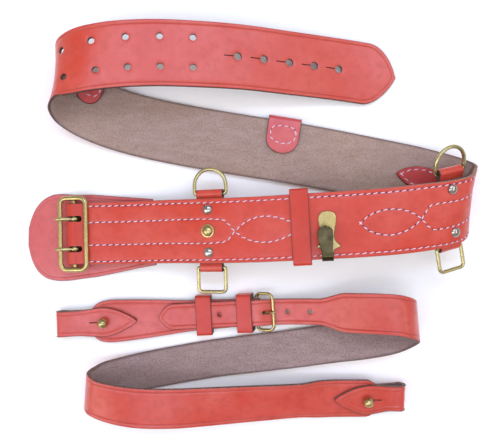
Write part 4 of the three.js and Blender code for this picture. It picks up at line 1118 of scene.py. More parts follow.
def path_object(name, paths, vectors):
    """A wire object in metres: paths of points with named vectors on each point."""
    points = np.vstack(paths)
    edges, count = [], 0
    for path in paths:
        edges += [(count + k, count + k + 1) for k in range(len(path) - 1)]
        count += len(path)
    mesh = bpy.data.meshes.new(name)
    mesh.from_pydata(((points + ORIGIN) * MM).tolist(), edges, [])
    for title, values in vectors.items():
        layer = mesh.attributes.new(title, "FLOAT_VECTOR", "POINT")
        layer.data.foreach_set("vector", np.vstack(values).astype(np.float32).ravel())
    piece = bpy.data.objects.new(name, mesh)
    bpy.context.scene.collection.objects.link(piece)
    return piece


def grow(piece, maker, values):
    """Runs a tree on a piece with values for its named inputs, and keeps the plain mesh."""
    if maker.__name__ not in TREES:
        TREES[maker.__name__] = maker()
    tree = TREES[maker.__name__]
    modifier = piece.modifiers.new("grow", "NODES")
    modifier.node_group = tree
    for item in tree.interface.items_tree:
        if item.in_out == "INPUT" and item.name in values:
            modifier[item.identifier] = values[item.name]
    bake_modifiers(piece)


def sew(name, paths, outwards, seed):
    """Stitches along paths of points, and dark bodies between them painted as the shade of the stitch
    holes.
    """
    stitch = bpy.context.scene.belt_stitching
    thread, hole_shade = finishes("thread", "hole_shade")
    shifted = [path[half_pitch(path, stitch.pitch / MM):] for path in paths]
    shifted_outwards = [out[-len(path):] for out, path in zip(outwards, shifted)]
    thread_size = (stitch.length, stitch.width, THREAD_HEIGHT)
    for kind, rows, outs, size, slant, material in (
        ("thread", paths, outwards, thread_size, stitch.slant, thread),
        ("pits", shifted, shifted_outwards, HOLE_SHADE_SIZE, 0.0, hole_shade),
    ):
        piece = path_object(f"{name}_{kind}", rows, {"outward": outs})
        grow(piece, stitch_tree, {
            "Pitch": stitch.pitch, "Length": size[0], "Width": size[1], "Height": size[2],
            "Slant": slant, "Seed": seed, "Material": material,
        })
        settle(piece, None)


def half_pitch(path, pitch):
    """How many points of a path make half a pitch."""
    return int(np.searchsorted(reached(path)[1:], pitch / 2)) + 1


# ---- Widths, relief


def point_share(t):
    """Share of the full width left from 0 at a point's shoulder to 1 at its end."""
    return np.maximum((1 - t * t) ** 0.8, 0.04)


def crease_line(scale=1.0):
    """Relief of one pressed line along the outline, and the painted shade in it."""
    leather = bpy.context.scene.belt_leather
    depth, inset_wanted = leather.crease_depth / MM, leather.crease_inset / MM

    def relief(s, v, inset):
        dip = scale * np.exp(-(((inset - inset_wanted) / CREASE["slope"]) ** 2))
        return -depth * dip, dip * CREASE["dark"]

    return relief


def with_dips(base, holes):
    """Adds a pressed-in rim round holes at (s, v, radius), darkened there as painted shade."""

    def relief(s, v, inset):
        height, dark = base(s, v, inset)
        for s0, v0, radius in holes:
            away = np.hypot(s - s0, v - v0) - radius
            dip = np.exp(-((np.maximum(away, 0) / HOLE_RIM["slope"]) ** 2))
            height = height - HOLE_RIM["depth"] * dip
            dark = np.maximum(dark, HOLE_RIM["dark"] * dip)
        return height, dark

    return relief


def merged_steps(length, step, spots, reach=5.0, fine=0.9, start=0.0):
    """Lengths along a strap, closer together round the given spots."""
    wanted = list(np.linspace(start, length, int((length - start) / step) + 1))
    for spot in spots:
        wanted = [s for s in wanted if abs(s - spot) > reach + 0.4]
        wanted += list(np.arange(spot - reach, spot + reach + 0.01, fine))
    return np.array(sorted(s for s in wanted if start <= s <= length))


def with_point(lengths, end, point_length):
    """Lengths with close rows towards the belt's point, and half the width at each."""
    shoulder_at = end - point_length
    turns = np.sin(np.linspace(0, 1, 30) * math.pi / 2)
    lengths = np.concatenate([lengths[lengths < shoulder_at - 0.3], shoulder_at + turns * point_length])
    return lengths, BELT_HALF * point_share(np.clip((lengths - shoulder_at) / point_length, 0, 1))


def belt_holes():
    """Places of the belt's holes: (s, v, radius)."""
    holes = []
    for i in range(HOLE_COUNT):
        pair = PAIR_HOLES["first"] + i * PAIR_HOLES["pitch"]
        for side in (-1, 1):
            holes.append((pair, PAIR_HOLES["up"] + side * PAIR_HOLES["across"], PAIR_HOLES["radius"]))
        holes.append((SINGLE_HOLES["first"] + i * SINGLE_HOLES["pitch"], 0, SINGLE_HOLES["radius"]))
    return holes


def course_spot(course, lengths):
    return lambda v, h: course.points(lengths[:, None] + 0 * v, v, h)


def course_ribbon(course, lengths, halves, low, high, **settings):
    """A strip along a course, from one height above its suede side to another."""
    return ribbon(course_spot(course, lengths), lengths, halves, low, high, **settings)


# ---- Operators


class BeltOperator(bpy.types.Operator):
    """Shared settings of the belt's operators."""

    bl_options = {"REGISTER", "UNDO"}


class MakeWaistStrap(BeltOperator):
    """The long inner ply of the waist belt, with its holes, slits and pointed tip."""

    bl_idname = "belt.waist_strap"
    bl_label = "Waist strap"

    def execute(self, context):
        holes = belt_holes()
        lengths = merged_steps(BELT.length, 2.6, sorted({hole[0] for hole in holes}))
        lengths, halves = with_point(lengths, BELT.length, TIP_LENGTH)
        shell = course_ribbon(
            BELT, lengths, halves, 0, PLY, columns=32, relief=with_dips(crease_line(), holes),
        )
        cuts = []
        for s, v, radius in holes:
            outline = circle(radius)
            if v == 0:
                outline = keyhole(radius, -radius - SINGLE_HOLES["slit"], SINGLE_HOLES["slit_width"])
            cuts.append(seated(BELT.matrix(s) @ shift_by(0, v, 0), through_ply(outline)))
        build("belt_strap_leather", [shell], BELT_LEATHER, "leather_belt", "belt_strap", cuts=cuts)
        return {"FINISHED"}


class MakeFrontFacing(BeltOperator):
    """The stitched outer ply of the belt's front, sunk along its stitching."""

    bl_idname = "belt.front_facing"
    bl_label = "Front facing"

    def execute(self, context):
        paths = [even_line(path, 0.5) for path in EDGE_STITCHING + PANEL_STITCHING]
        rows = np.vstack(paths)
        tree = kdtree.KDTree(len(rows))
        for number, (s, v) in enumerate(rows):
            tree.insert((s, v, 0), number)
        tree.balance()

        def relief(s, v, inset):
            away = np.array([tree.find((a, b, 0))[2] for a, b in zip(s.ravel(), v.ravel())])
            away = away.reshape(s.shape)
            groove = np.exp(-((away / STITCH_GROOVE["slope"]) ** 2))
            puff = STITCH_GROOVE["puff"] * np.exp(-away / STITCH_GROOVE["puff_slope"])
            # the groove along the stitching is darkened as painted shade
            return -STITCH_GROOVE["depth"] * groove - puff, STITCH_GROOVE["dark"] * groove

        lengths = merged_steps(FACING_LENGTH, 1.15, [])
        lengths, halves = with_point(lengths, FACING_LENGTH, FACING_TIP_LENGTH)
        shell = course_ribbon(
            BELT, lengths, halves, PLY + PLY_REST, FACE, columns=46, relief=relief,
        )
        finish = ("front", "front_edge", "front_edge")
        build("belt_facing_leather", [shell], finish, "leather_belt", "belt_facing")
        return {"FINISHED"}


class MakeBeltStitching(BeltOperator):
    """White thread along the edges and panels of the belt's front."""

    bl_idname = "belt.stitching"
    bl_label = "Belt stitching"

    def execute(self, context):
        for name, table, seed in (("edge_row", EDGE_STITCHING, 3), ("panel_row", PANEL_STITCHING, 8)):
            paths, outwards = [], []
            for path in table:
                s, v = even_line(path, 0.6).T
                paths.append(BELT.points(s, v, FACE - STITCH_GROOVE["depth"]))
                outwards.append(BELT.axes(s)[3])
            sew(name, paths, outwards, seed)
        return {"FINISHED"}


class MakeBucklePad(BeltOperator):
    """The wide pad that lies behind the buckle."""

    bl_idname = "belt.buckle_pad"
    bl_label = "Buckle pad"

    def execute(self, context):
        rows = even_line(PAD_ROWS, 1.2)
        lengths = np.maximum.accumulate(rows[:, 0] + np.arange(len(rows)) * 1e-5)
        shell = course_ribbon(
            PAD, lengths, rows[:, 1], 0, PAD_PLY, columns=26, relief=crease_line(0.8),
        )
        finish = ("pad", "belt_edge", "belt_suede")
        build("buckle_pad_leather", [shell], finish, "leather_pad", "buckle_pad")
        return {"FINISHED"}


class MakeInnerPatch(BeltOperator):
    """The pointed patch on the belt's inside, with its stitching."""

    bl_idname = "belt.inner_patch"
    bl_label = "Inner patch"

    def execute(self, context):
        middle, half_length = (PATCH["from"] + PATCH["to"]) / 2, (PATCH["to"] - PATCH["from"]) / 2
        t = np.sin(np.linspace(-1, 1, 70) * math.pi / 2)
        lengths = middle + t * half_length
        halves = PATCH["half"] * point_share(np.abs(t))
        spot = course_spot(BELT, lengths)
        shell = ribbon(
            lambda v, h: spot(v, -h), lengths, halves, 0.02, PATCH["gap"] + THIN_PLY, columns=12,
        )
        finish = ("patch", "belt_edge", "belt_edge")
        build("inner_patch_leather", [shell], finish, "leather_patch", "inner_patch")
        inner = np.linspace(-0.88, 0.88, 60)
        across = (PATCH["half"] - 3) * point_share(np.abs(inner) / 0.9)
        s = middle + inner * (half_length - 2)
        paths, outwards = [], []
        for side in (-1, 1):
            paths.append(BELT.points(s, side * across, -(PATCH["gap"] + THIN_PLY) + THREAD_RISE))
            outwards.append(-BELT.axes(s)[3])
        sew("patch_row", paths, outwards, 5)
        return {"FINISHED"}


class MakeBuckleFold(BeltOperator):
    """The leather rolled round the buckle's middle bar, with a slot for each prong."""

    bl_idname = "belt.buckle_fold"
    bl_label = "Buckle fold"

    def execute(self, context):
        x, z = BUCKLE["x"], BUCKLE["z"]
        half = BELT_HALF - 0.5
        rows = [(-0.02, 1.5, half), (-3, 1.1, half)]
        rows += [(a, b, half) for a, b in arc(x, z, FOLD["middle"], 306, 54, 30)]
        rows += [(-5, 6.1, half - 0.1), (-2, 5.15, half), (-0.02, PLY + GAP + 1.5, half)]
        matrix = BELT.matrix(0)
        shell = bent_ribbon(rows, PLY - 0.1, seated_by(matrix), step=1.0, columns=30)
        cuts = []
        side = FOLD["slot_width"] / 2
        for y in (-PRONG["across"], PRONG["across"]):
            outline = rounded_rectangle(
                x + FOLD["slot_from"], x + FOLD["slot_to"], y - side, y + side, side - 0.4,
            )
            cuts.append(seated(matrix, punch(outline, z - 9, z + 9)))
        build("buckle_fold_leather", [shell], KEEPER_LEATHER, "leather_belt", "buckle_fold", cuts=cuts)
        return {"FINISHED"}


class MakeBeltBuckle(BeltOperator):
    """The wide brass frame with its middle bar, and the two prongs on it."""

    bl_idname = "belt.buckle"
    bl_label = "Belt buckle"

    def execute(self, context):
        half, tall = BUCKLE["half"], BUCKLE["tall"]
        outline = close_spaced(rounded_rectangle(-half, half, -tall, tall, BUCKLE["corner"]))
        seat = BELT.matrix(0) @ shift_by(BUCKLE["x"], 0, BUCKLE["z"])
        band_seat = seat @ shift_by(0, 0, BUCKLE["lift"]) @ turn_by(-BUCKLE["tilt"], "Y")
        band = loop_bar(outline, BUCKLE_BAND["wide"], BUCKLE_BAND["high"], 20)
        bar = BUCKLE_BAND["bar"]
        joins = [seated(seat @ turn_by(90, "X"), turned([(bar, -tall), (bar, tall)], 24))]
        for y in (-tall, tall):
            post = turned([(bar, -bar), (bar, BUCKLE["lift"])], 24)
            joins.append(seated(seat @ shift_by(0, y, 0), post))
        build("buckle_frame_brass", [seated(band_seat, band)], BRASS, "brass", "buckle_frame", joins=joins)
        middle, wide = (PRONG["inner"] + PRONG["outer"]) / 2, (PRONG["outer"] - PRONG["inner"]) / 2
        for name, y in (("upper", PRONG["across"]), ("lower", -PRONG["across"])):
            place = seat @ shift_by(0, y, 0)
            ring = loop_bar(circle(middle), wide, PRONG["half"], 14)
            build(
                f"buckle_prong_{name}_brass", [seated(place @ turn_by(90, "X"), ring)], BRASS,
                "brass", f"buckle_prong_{name}", joins=[seated(place, tapered_bar(PRONG_ROWS))],
                body=f"{name}_prong",
            )
        return {"FINISHED"}


def ring_seat(row):
    """Where a ring's chape sits: X along the belt, Y away from its middle."""
    _, end, s, _, drop, shift, _ = row
    return BELT.matrix(s) @ shift_by(shift, 0, -drop) @ turn_by(0 if end == "top" else 180, "Z")


class MakeRingChapes(BeltOperator):
    """Leather straps behind the belt, each rolled round a ring's bar."""

    bl_idname = "belt.ring_chapes"
    bl_label = "Ring chapes"

    def execute(self, context):
        high = -GAP - THIN_PLY / 2
        low = ROLL_H * 2 - high
        meet = math.degrees(math.asin((high - ROLL_H) / ROLL_RADIUS))
        for row in RING_SEATS:
            half = (D_RING if row[1] == "top" else SQUARE_RING)["chape"] / 2
            path = [(4, high), (12, high), (20, high), (26, high + 0.1)]
            path += list(arc(ROLL_V, ROLL_H, ROLL_RADIUS, 150 - meet, meet - 150, 26))
            path += [(26, low - 0.1), (20, low), (13, low)]
            at = seated_by(ring_seat(row))
            shell = bent_ribbon(
                [(x, z, half) for x, z in path], THIN_PLY - 0.1,
                lambda a, b, c, at=at: at(b, a, c), step=0.8, columns=10, rim=0.6,
            )
            name = f"ring_chape_{row[0]}_{row[1]}"
            build(f"{name}_leather", [shell], BELT_LEATHER, "leather_belt", name)
        return {"FINISHED"}


class MakeRings(BeltOperator):
    """The two D rings above the belt and the two square rings below it."""

    bl_idname = "belt.rings"
    bl_label = "Rings"

    def execute(self, context):
        half, leg, corner = D_RING["half"], D_RING["leg"], D_RING["corner"]
        d_outline = np.vstack([
            arc(half - corner, corner, corner, -90, 0, 6),
            arc(0, leg, half, 0, 180, 36),
            arc(corner - half, corner, corner, 180, 270, 6),
        ])
        half, far, near = SQUARE_RING["half"], SQUARE_RING["corner"], SQUARE_RING["bar_corner"]
        length = SQUARE_RING["length"]
        square = np.vstack([
            arc(half - near, near, near, -90, 0, 6),
            arc(half - far, length - far, far, 0, 90, 8),
            arc(far - half, length - far, far, 90, 180, 8),
            arc(near - half, near, near, 180, 270, 6),
        ])
        for row in RING_SEATS:
            kind, outline = ("d_ring", d_outline) if row[1] == "top" else ("square_ring", square)
            bar = ring_seat(row) @ shift_by(0, ROLL_V, ROLL_H) @ turn_by(-row[6], "X")
            shell = seated(bar, loop_bar(close_spaced(outline), WIRE, WIRE))
            name = f"{kind}_{row[0]}"
            build(f"{name}_wire", [shell], ("wire",), "brass_wire", name, body=f"{row[0]}_{kind}")
        return {"FINISHED"}


class MakeRivets(BeltOperator):
    """The four domed rivets that hold the chapes."""

    bl_idname = "belt.rivets"
    bl_label = "Domed rivets"

    def execute(self, context):
        nickel, = finishes("nickel")
        for title, profile in (("heads", RIVET_HEAD), ("backs", RIVET_BACK)):
            points, faces = turned(profile, 28)
            shape = make_object("rivet_shape", [(points - ORIGIN, faces)], [nickel])
            spots, outward, along = [], [], []
            for _, end, s, rivet, drop, _, _ in RING_SEATS:
                v = rivet if end == "top" else -rivet
                height = RIVET_SEAT if title == "heads" else -2 * (GAP + THIN_PLY) - GAP - drop
                spots.append(BELT.points(np.array([s]), v, height)[0])
                _, way, _, out = BELT.axes(np.array([s]))
                outward.append(out)
                along.append(way)
            piece = path_object(f"rivet_{title}", [np.array([spot]) for spot in spots], {
                "outward": outward, "along": along,
            })
            grow(piece, seated_shape_tree, {"Shape": shape, "Material": nickel})
            bpy.data.objects.remove(shape)
            nodes = [f"rivet_{row[0]}_{row[1]}" for row in RING_SEATS] if title == "heads" else []
            settle(piece, "nickel", *nodes)
        return {"FINISHED"}


class MakeBeltStud(BeltOperator):
    """The rimmed brass stud between the left pair of rivets."""

    bl_idname = "belt.stud"
    bl_label = "Belt stud"

    def execute(self, context):
        middle = BELT.matrix(STUD_S)
        head = seated(middle @ shift_by(0, 0, RIVET_SEAT), turned(STUD_HEAD, 48))
        back = seated(middle @ shift_by(0, 0, -0.1), turned(STUD_BACK, 32))
        build("belt_stud_brass", [head, back], BRASS, "brass", "belt_stud")
        return {"FINISHED"}


class MakeBraceTabs(BeltOperator):
    """The two round-ended tabs folded over the belt's upper edge."""

    bl_idname = "belt.brace_tabs"
    bl_label = "Brace tabs"

    def execute(self, context):
        low = -TAB_GAP - THIN_PLY / 2
        fold = (PLY + THIN_PLY) / 2 + TAB_GAP
        edge = BELT_HALF - TAB_INSET
        steps = 0.5 * (1 - np.cos(np.linspace(0, 1, 16) * math.pi / 2))
        for name, s, half, reach in TABS:
            widths = half * np.maximum(np.sqrt(1 - (1 - 2 * steps) ** 2.4), 0.12)
            ends = list(zip(edge - reach * (1 - steps), widths))
            rows = [(x, low, w) for x, w in ends]
            rows += [(a, b, half) for a, b in arc(edge, low + fold, fold, -80, 80, 14)]
            rows += [(x, low + 2 * fold, w) for x, w in ends[::-1]]
            shell = bent_ribbon(
                rows, -THIN_PLY, lambda a, b, c, s=s: BELT.points(s + b, a, c), step=0.9,
                columns=12, rim=0.55,
            )
            finish = ("tab", "belt_edge", "belt_suede")
            build(f"{name}_leather", [shell], finish, "leather_tab", name)
            wide = half - 3.6
            outline = [
                (-wide, edge - 9.5), (-wide * 0.9, edge - 6.6), (-wide * 0.45, edge - 5), (0, edge - 4.7),
                (wide * 0.45, edge - 5.2), (wide * 0.9, edge - 7), (wide, edge - 10),
                (wide * 0.98, edge - 0.52 * reach), (wide * 0.66, edge - 0.64 * reach),
                (0, edge - 0.7 * reach), (-wide * 0.66, edge - 0.64 * reach),
                (-wide * 0.98, edge - 0.52 * reach), (-wide, edge - 9.5),
            ]
            y, x = even_line(outline, 0.5).T
            path = BELT.points(s + y, x, low - THIN_PLY / 2 + THREAD_RISE)
            sew(f"{name}_row", [path], [-BELT.axes(s + y)[3]], 11)
        return {"FINISHED"}


class MakeKeepers(BeltOperator):
    """The three sliding leather loops."""

    bl_idname = "belt.keepers"
    bl_label = "Keepers"

    def execute(self, context):
        rows = [("belt_keeper", BELT, BELT_KEEPER["s"], BELT_KEEPER["width"], BELT_KEEPER["half"],
                 -GAP, -GAP, FACE + GAP)]
        for name, s, half, under in STRAP_KEEPERS:
            ends = np.array([s - STRAP_KEEPER_WIDTH / 2, s + STRAP_KEEPER_WIDTH / 2])
            heights = SHOULDER.axes(ends)[0][:, 2]
            rows.append((name, SHOULDER, s, STRAP_KEEPER_WIDTH, half,
                         under - heights[0], under - heights[1], PLY + GAP))
        middle = THIN_PLY / 2
        for name, course, s, width, half, low_near, low_far, high in rows:
            outline = close_spaced(rounded_rectangle(
                -half - middle, half + middle, -middle, high + middle, KEEPER_CORNER + middle, 6,
            ), 2.0)
            way, lengths = loop_way(outline), reached(outline)

            def spot(v, h, outline=outline, way=way, course=course, s=s, width=width,
                     low_near=low_near, low_far=low_far, high=high):
                across = outline[:, 0:1] + way[:, 1:2] * h
                height = outline[:, 1:2] - way[:, 0:1] * h
                t = (v + width / 2) / width
                low = low_near + (low_far - low_near) * t
                side = high - (high - height) * (high - low) / high
                height = np.where(height > high, height, np.where(height > 0, side, low + height))
                return course.points(s + v, across, height)

            halves = np.full(len(lengths), width / 2)
            shell = ribbon(spot, lengths, halves, -middle, middle, columns=6, rim=0.7, closed=True)
            build(f"{name}_leather", [shell], KEEPER_LEATHER, "leather_keeper", name)
        return {"FINISHED"}


class MakeHook(BeltOperator):
    """The brass hook: a shaped plate that turns up below into a mirror-like leaf, coloured dark as a
    painted reflection.
    """

    bl_idname = "belt.hook"
    bl_label = "Belt hook"

    def execute(self, context):
        plate_z = FACE + GAP + HOOK["thick"] / 2
        bend = HOOK["bend"]
        rows = [(v, plate_z, half, shift) for v, half, shift in HOOK_PLATE]
        turn = arc(HOOK["bend_v"], plate_z + bend, bend, 270, 90, 18)
        for k, (a, b) in enumerate(turn):
            rows.append((a, b, HOOK["bend_half"], HOOK["bend_shift"] * (1 + k / 18)))
        rows += [(v, plate_z + 2 * bend + rise, half, shift) for v, rise, half, shift in HOOK_LEAF]
        points, faces, _, _ = bent_ribbon(
            rows, -HOOK["thick"], lambda a, b, c: BELT.points(HOOK["s"] + b, a, c), step=0.6,
            columns=10, rim=0.5,
        )
        middle = BELT.points(np.array([HOOK["s"]]), HOOK["bend_v"], plate_z + bend)[0]
        up = BELT.axes(np.array([HOOK["s"]]))[3][0]
        finish = [int((points[face].mean(axis=0) - middle) @ up > 0) for face in faces]
        build("belt_hook_brass", [(points, faces, finish)], ("brass", "leaf"), "brass", "belt_hook")
        return {"FINISHED"}


class MakeShoulderStrap(BeltOperator):
    """The long shoulder strap, from its pointed billet to its buttoned end."""

    bl_idname = "belt.shoulder_strap"
    bl_label = "Shoulder strap"

    def execute(self, context):
        holes = [
            (BILLET_HOLES["first"] + i * BILLET_HOLES["pitch"], 0, BILLET_HOLES["radius"])
            for i in range(HOLE_COUNT)
        ]
        lengths = merged_steps(STRAP_END["s"], 2.2, [hole[0] for hole in holes], 4.0, 0.8, BILLET_POINT)
        turns = BILLET_POINT * (1 - np.sin(np.linspace(1, 0, 26) * math.pi / 2))
        lengths = np.concatenate([turns[:-1], lengths])
        t = np.clip((lengths - WIDENING[0]) / (WIDENING[1] - WIDENING[0]), 0, 1)
        halves = BILLET_HALF + (STRAP_HALF - BILLET_HALF) * eased(t)
        halves = halves * point_share(np.clip(1 - lengths / BILLET_POINT, 0, 1))
        t = np.clip((lengths - STRAP_END_FROM) / STRAP_END["length"], 0, 1)
        halves = halves + (STRAP_END["half"] - STRAP_HALF) * eased(t)
        shell = course_ribbon(
            SHOULDER, lengths, halves, 0, PLY, columns=22, relief=with_dips(crease_line(), holes),
        )
        cuts = []
        for number, (s, _, radius) in enumerate(holes):
            outline = circle(radius)
            if number == PRONG_HOLE["at"]:
                length, width = PRONG_HOLE["length"] / 2, PRONG_HOLE["width"] / 2
                outline = rounded_rectangle(-length, length, -width, width, width - 0.2)
            cuts.append(seated(SHOULDER.matrix(s), through_ply(outline)))
        cuts.append(seated(SHOULDER.matrix(STRAP_END_FROM), through_ply(circle(STUD_HOLE))))
        name = "shoulder_strap"
        build(f"{name}_leather", [shell], STRAP_LEATHER, "leather_strap", name, cuts=cuts)
        return {"FINISHED"}


class MakeBuckleStrap(BeltOperator):
    """The short strap that carries the strap buckle."""

    bl_idname = "belt.buckle_strap"
    bl_label = "Buckle strap"

    def execute(self, context):
        thick, mid, fold = SHORT["thick"], SHORT["mid"], SHORT["fold"]
        rows = list(SHORT_ROWS)
        rows += [(a, b, SHORT_RETURN["half"]) for a, b in arc(0, mid, fold, 120, -90, 20)]
        rows += [(-8, SHORT_RETURN["z"], SHORT_RETURN["half"])]
        rows += [(SHORT_RETURN["end"], SHORT_RETURN["z"], SHORT_RETURN["half"])]
        shell = bent_ribbon(
            rows, thick, seated_by(SHORT_SEAT), step=1.2, columns=16, rim=0.6,
            relief=crease_line(0.8),
        )
        side = STRAP_PRONG["slot"] / 2
        slot = rounded_rectangle(-fold - 1, fold + 3, -side, side, side - 0.3)
        cuts = [
            seated(SHORT_SEAT, punch(slot, mid - 6, mid + 6)),
            seated(SHORT_SEAT, punch(circle(STUD_HOLE, LEFT_LOOP["stud_x"]), 0, 9)),
        ]
        name = "buckle_strap"
        build(f"{name}_leather", [shell], STRAP_LEATHER, "leather_strap", name, cuts=cuts)
        return {"FINISHED"}


def left_loop_seat():
    bottom = SHORT_ROWS[0][1] - SHORT["thick"] / 2
    return SHORT_SEAT @ shift_by(LEFT_LOOP["stud_x"], 0, bottom) @ turn_by(LEFT_LOOP["turn"], "Z")


def right_loop_seat():
    return SHOULDER.matrix(STRAP_END_FROM) @ turn_by(180, "Z")


def right_loop_at(x, y, z):
    return SHOULDER.points(STRAP_END_FROM - x, y - LOOP["lean"] * np.minimum(x, 0), z)


# side, carried strap's thickness, reach, seat, placing function
END_LOOPS = [
    ("left", SHORT["thick"], LEFT_LOOP["reach"], left_loop_seat(), seated_by(left_loop_seat())),
    ("right", PLY, RIGHT_LOOP_REACH, right_loop_seat(), right_loop_at),
]


class MakeEndLoops(BeltOperator):
    """The pointed tongues that turn round into end loops and button on their studs."""

    bl_idname = "belt.end_loops"
    bl_label = "End loops"

    def execute(self, context):
        for side, carried, reach, seat, at in END_LOOPS:
            top = carried + GAP + LOOP_THICK / 2
            leg = -GAP - LOOP_THICK / 2
            bend_x = LOOP["bulge"] + LOOP_THICK / 2 - reach
            bulge = LOOP["bulge"]
            rows = [(x, top, half) for x, half in TONGUE_ROWS]
            rows += [((bend_x - 9) / 2, (top + leg + bulge) / 2 + 1.2, LOOP["half"])]
            turn = arc(bend_x, leg + bulge, bulge, 90, 270, 18)
            rows += [(a, b, LOOP["half"]) for a, b in turn]
            rows += [(x, leg, LOOP["leg_half"]) for x in (bend_x + 4, 0, LOOP["leg_end"])]
            shell = bent_ribbon(
                rows, -LOOP_THICK, at, step=0.9, columns=16, rim=0.7, relief=crease_line(0.7),
            )
            name = f"strap_loop_{side}"
            outline = keyhole(KEYHOLE["radius"], KEYHOLE["slit_from"], KEYHOLE["slit_width"])
            half = LOOP_THICK / 2
            cuts = [
                seated(seat, punch(outline, top - half - 1, top + half + 1)),
                seated(seat, punch(circle(KEYHOLE["radius"]), leg - half - 1, leg + half + 0.5)),
            ]
            build(f"{name}_leather", [shell], STRAP_LEATHER, "leather_strap", name, cuts=cuts)
        return {"FINISHED"}


class MakeStrapStuds(BeltOperator):
    """The ball studs that hold the end loops."""

    bl_idname = "belt.strap_studs"
    bl_label = "Ball studs"

    def execute(self, context):
        foot = 0.1 - GAP - LOOP_THICK
        for side, carried, _, seat, _ in END_LOOPS:
            top = carried + GAP + LOOP_THICK
            profile = [(radius, max(top + height, foot)) for radius, height in STRAP_STUD]
            name = f"strap_stud_{side}"
            build(f"{name}_brass", [seated(seat, turned(profile))], BRASS, "brass", name)
        return {"FINISHED"}


class MakeStrapBuckle(BeltOperator):
    """The single-prong brass buckle of the shoulder strap."""

    bl_idname = "belt.strap_buckle"
    bl_label = "Strap buckle"

    def execute(self, context):
        length, half, corner = STRAP_BUCKLE["length"], STRAP_BUCKLE["half"], STRAP_BUCKLE["corner"]
        heel = STRAP_BUCKLE["heel"]
        outline = close_spaced(np.vstack([
            arc(length - corner, corner - half, corner, -90, 0, 8),
            arc(length - corner, half - corner, corner, 0, 90, 8),
            arc(heel, half - heel, heel, 90, 180, 6),
            arc(heel, heel - half, heel, 180, 270, 6),
        ]))
        bar = SHORT_SEAT @ shift_by(0, 0, SHORT["mid"])
        seat = bar @ turn_by(-STRAP_BUCKLE["tilt"], "Y")
        shell = seated(seat, loop_bar(outline, STRAP_BAR, STRAP_BAR))
        build("strap_buckle_frame_brass", [shell], BRASS, "brass", "strap_buckle_frame")
        middle = (STRAP_PRONG["inner"] + STRAP_PRONG["outer"]) / 2
        wide = (STRAP_PRONG["outer"] - STRAP_PRONG["inner"]) / 2
        ring = loop_bar(circle(middle, sides=24), wide, STRAP_PRONG["half"], 12)
        build(
            "strap_buckle_prong_brass", [seated(bar @ turn_by(90, "X"), ring)], BRASS,
            "brass", "strap_buckle_prong", joins=[seated(bar, tapered_bar(STRAP_PRONG_ROWS, 12))],
        )
        return {"FINISHED"}


def area_light(name, place, size, turn, power, color):
    """A rectangular light; place and size in metres, turn in degrees."""
    light = bpy.data.lights.new(name, "AREA")
    light.shape = "RECTANGLE"
    light.size, light.size_y = size
    light.energy = power
    light.color = color
    lamp = bpy.data.objects.new(name, light)
    lamp.location = place
    lamp.rotation_euler = [angle * DEGREE for angle in turn]
    bpy.context.scene.collection.objects.link(lamp)
    return lamp


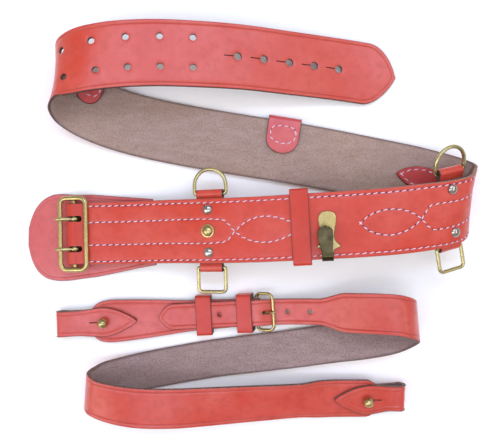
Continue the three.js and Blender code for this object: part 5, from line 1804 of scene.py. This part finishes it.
class MakeStage(BeltOperator):
    """The plain pale floor, the soft lights and the camera straight above."""

    bl_idname = "belt.stage"
    bl_label = "Stage"

    def execute(self, context):
        scene = context.scene
        settings = scene.belt_stage
        mesh = bpy.data.meshes.new("floor")
        corners = [(x * FLOOR_REACH, y * FLOOR_REACH, 0) for x, y in ((-1, -1), (1, -1), (1, 1), (-1, 1))]
        mesh.from_pydata(corners, [], [(0, 1, 2, 3)])
        material = bpy.data.materials.new("plain_floor")
        material.use_nodes = True
        shader = material.node_tree.nodes["Principled BSDF"]
        shader.inputs["Base Color"].default_value = (*settings.floor_color, 1)
        for key, value in FLOOR_LOOK.items():
            shader.inputs[key].default_value = value
        mesh.materials.append(material)
        floor = bpy.data.objects.new("floor", mesh)
        scene.collection.objects.link(floor)

        world = bpy.data.worlds.new("soft room")
        world.use_nodes = True
        background = world.node_tree.nodes["Background"]
        background.inputs["Color"].default_value = WORLD_COLOR
        background.inputs["Strength"].default_value = WORLD_STRENGTH
        scene.world = world
        for name, place, size, turn, power, share, color in LIGHTS:
            lamp = area_light(name, place, size, turn, getattr(settings, power) * share, color)
            lamp.visible_glossy = name != UNMIRRORED_LIGHT
        scene.view_settings.view_transform = "Standard"

        camera = bpy.data.cameras.new("camera")
        camera.sensor_fit = "HORIZONTAL"
        camera.sensor_width = SENSOR
        camera.lens = CAMERA_FOCUS * SENSOR / PHOTO_SIZE[0]
        camera.clip_start = CLIP_START
        holder = bpy.data.objects.new("camera", camera)
        holder.location = (ORIGIN + [0, 0, CAMERA_HEIGHT]) * MM
        scene.collection.objects.link(holder)
        scene.camera = holder
        return {"FINISHED"}


MAKERS = (
    MakeWaistStrap, MakeFrontFacing, MakeBeltStitching, MakeBucklePad, MakeInnerPatch,
    MakeBuckleFold, MakeBeltBuckle, MakeRingChapes, MakeRings, MakeRivets, MakeBeltStud,
    MakeBraceTabs, MakeKeepers, MakeHook, MakeShoulderStrap, MakeBuckleStrap, MakeEndLoops,
    MakeStrapStuds, MakeStrapBuckle, MakeStage,
)
SETTINGS = (
    ("belt_leather", BeltLeatherSettings), ("belt_stitching", StitchSettings),
    ("belt_metal", MetalSettings), ("belt_stage", StageSettings),
)


class BeltPanel(bpy.types.Panel):
    """Lists the settings and the operators."""

    bl_idname = "VIEW3D_PT_belt"
    bl_label = "Belt"
    bl_space_type = "VIEW_3D"
    bl_region_type = "UI"
    bl_category = "Belt"

    def draw(self, context):
        for title, group in SETTINGS:
            box = self.layout.box()
            for key in group.__annotations__:
                box.prop(getattr(context.scene, title), key)
        for maker in MAKERS:
            self.layout.operator(maker.bl_idname)


def register():
    for title, group in SETTINGS:
        bpy.utils.register_class(group)
        setattr(bpy.types.Scene, title, PointerProperty(type=group))
    for maker in (*MAKERS, BeltPanel):
        bpy.utils.register_class(maker)


def unregister():
    for maker in (BeltPanel, *reversed(MAKERS)):
        bpy.utils.unregister_class(maker)
    for title, group in reversed(SETTINGS):
        delattr(bpy.types.Scene, title)
        bpy.utils.unregister_class(group)


def main():
    register()
    for maker in MAKERS:
        family, name = maker.bl_idname.split(".")
        getattr(getattr(bpy.ops, family), name)()


if __name__ == "__main__":
    main()
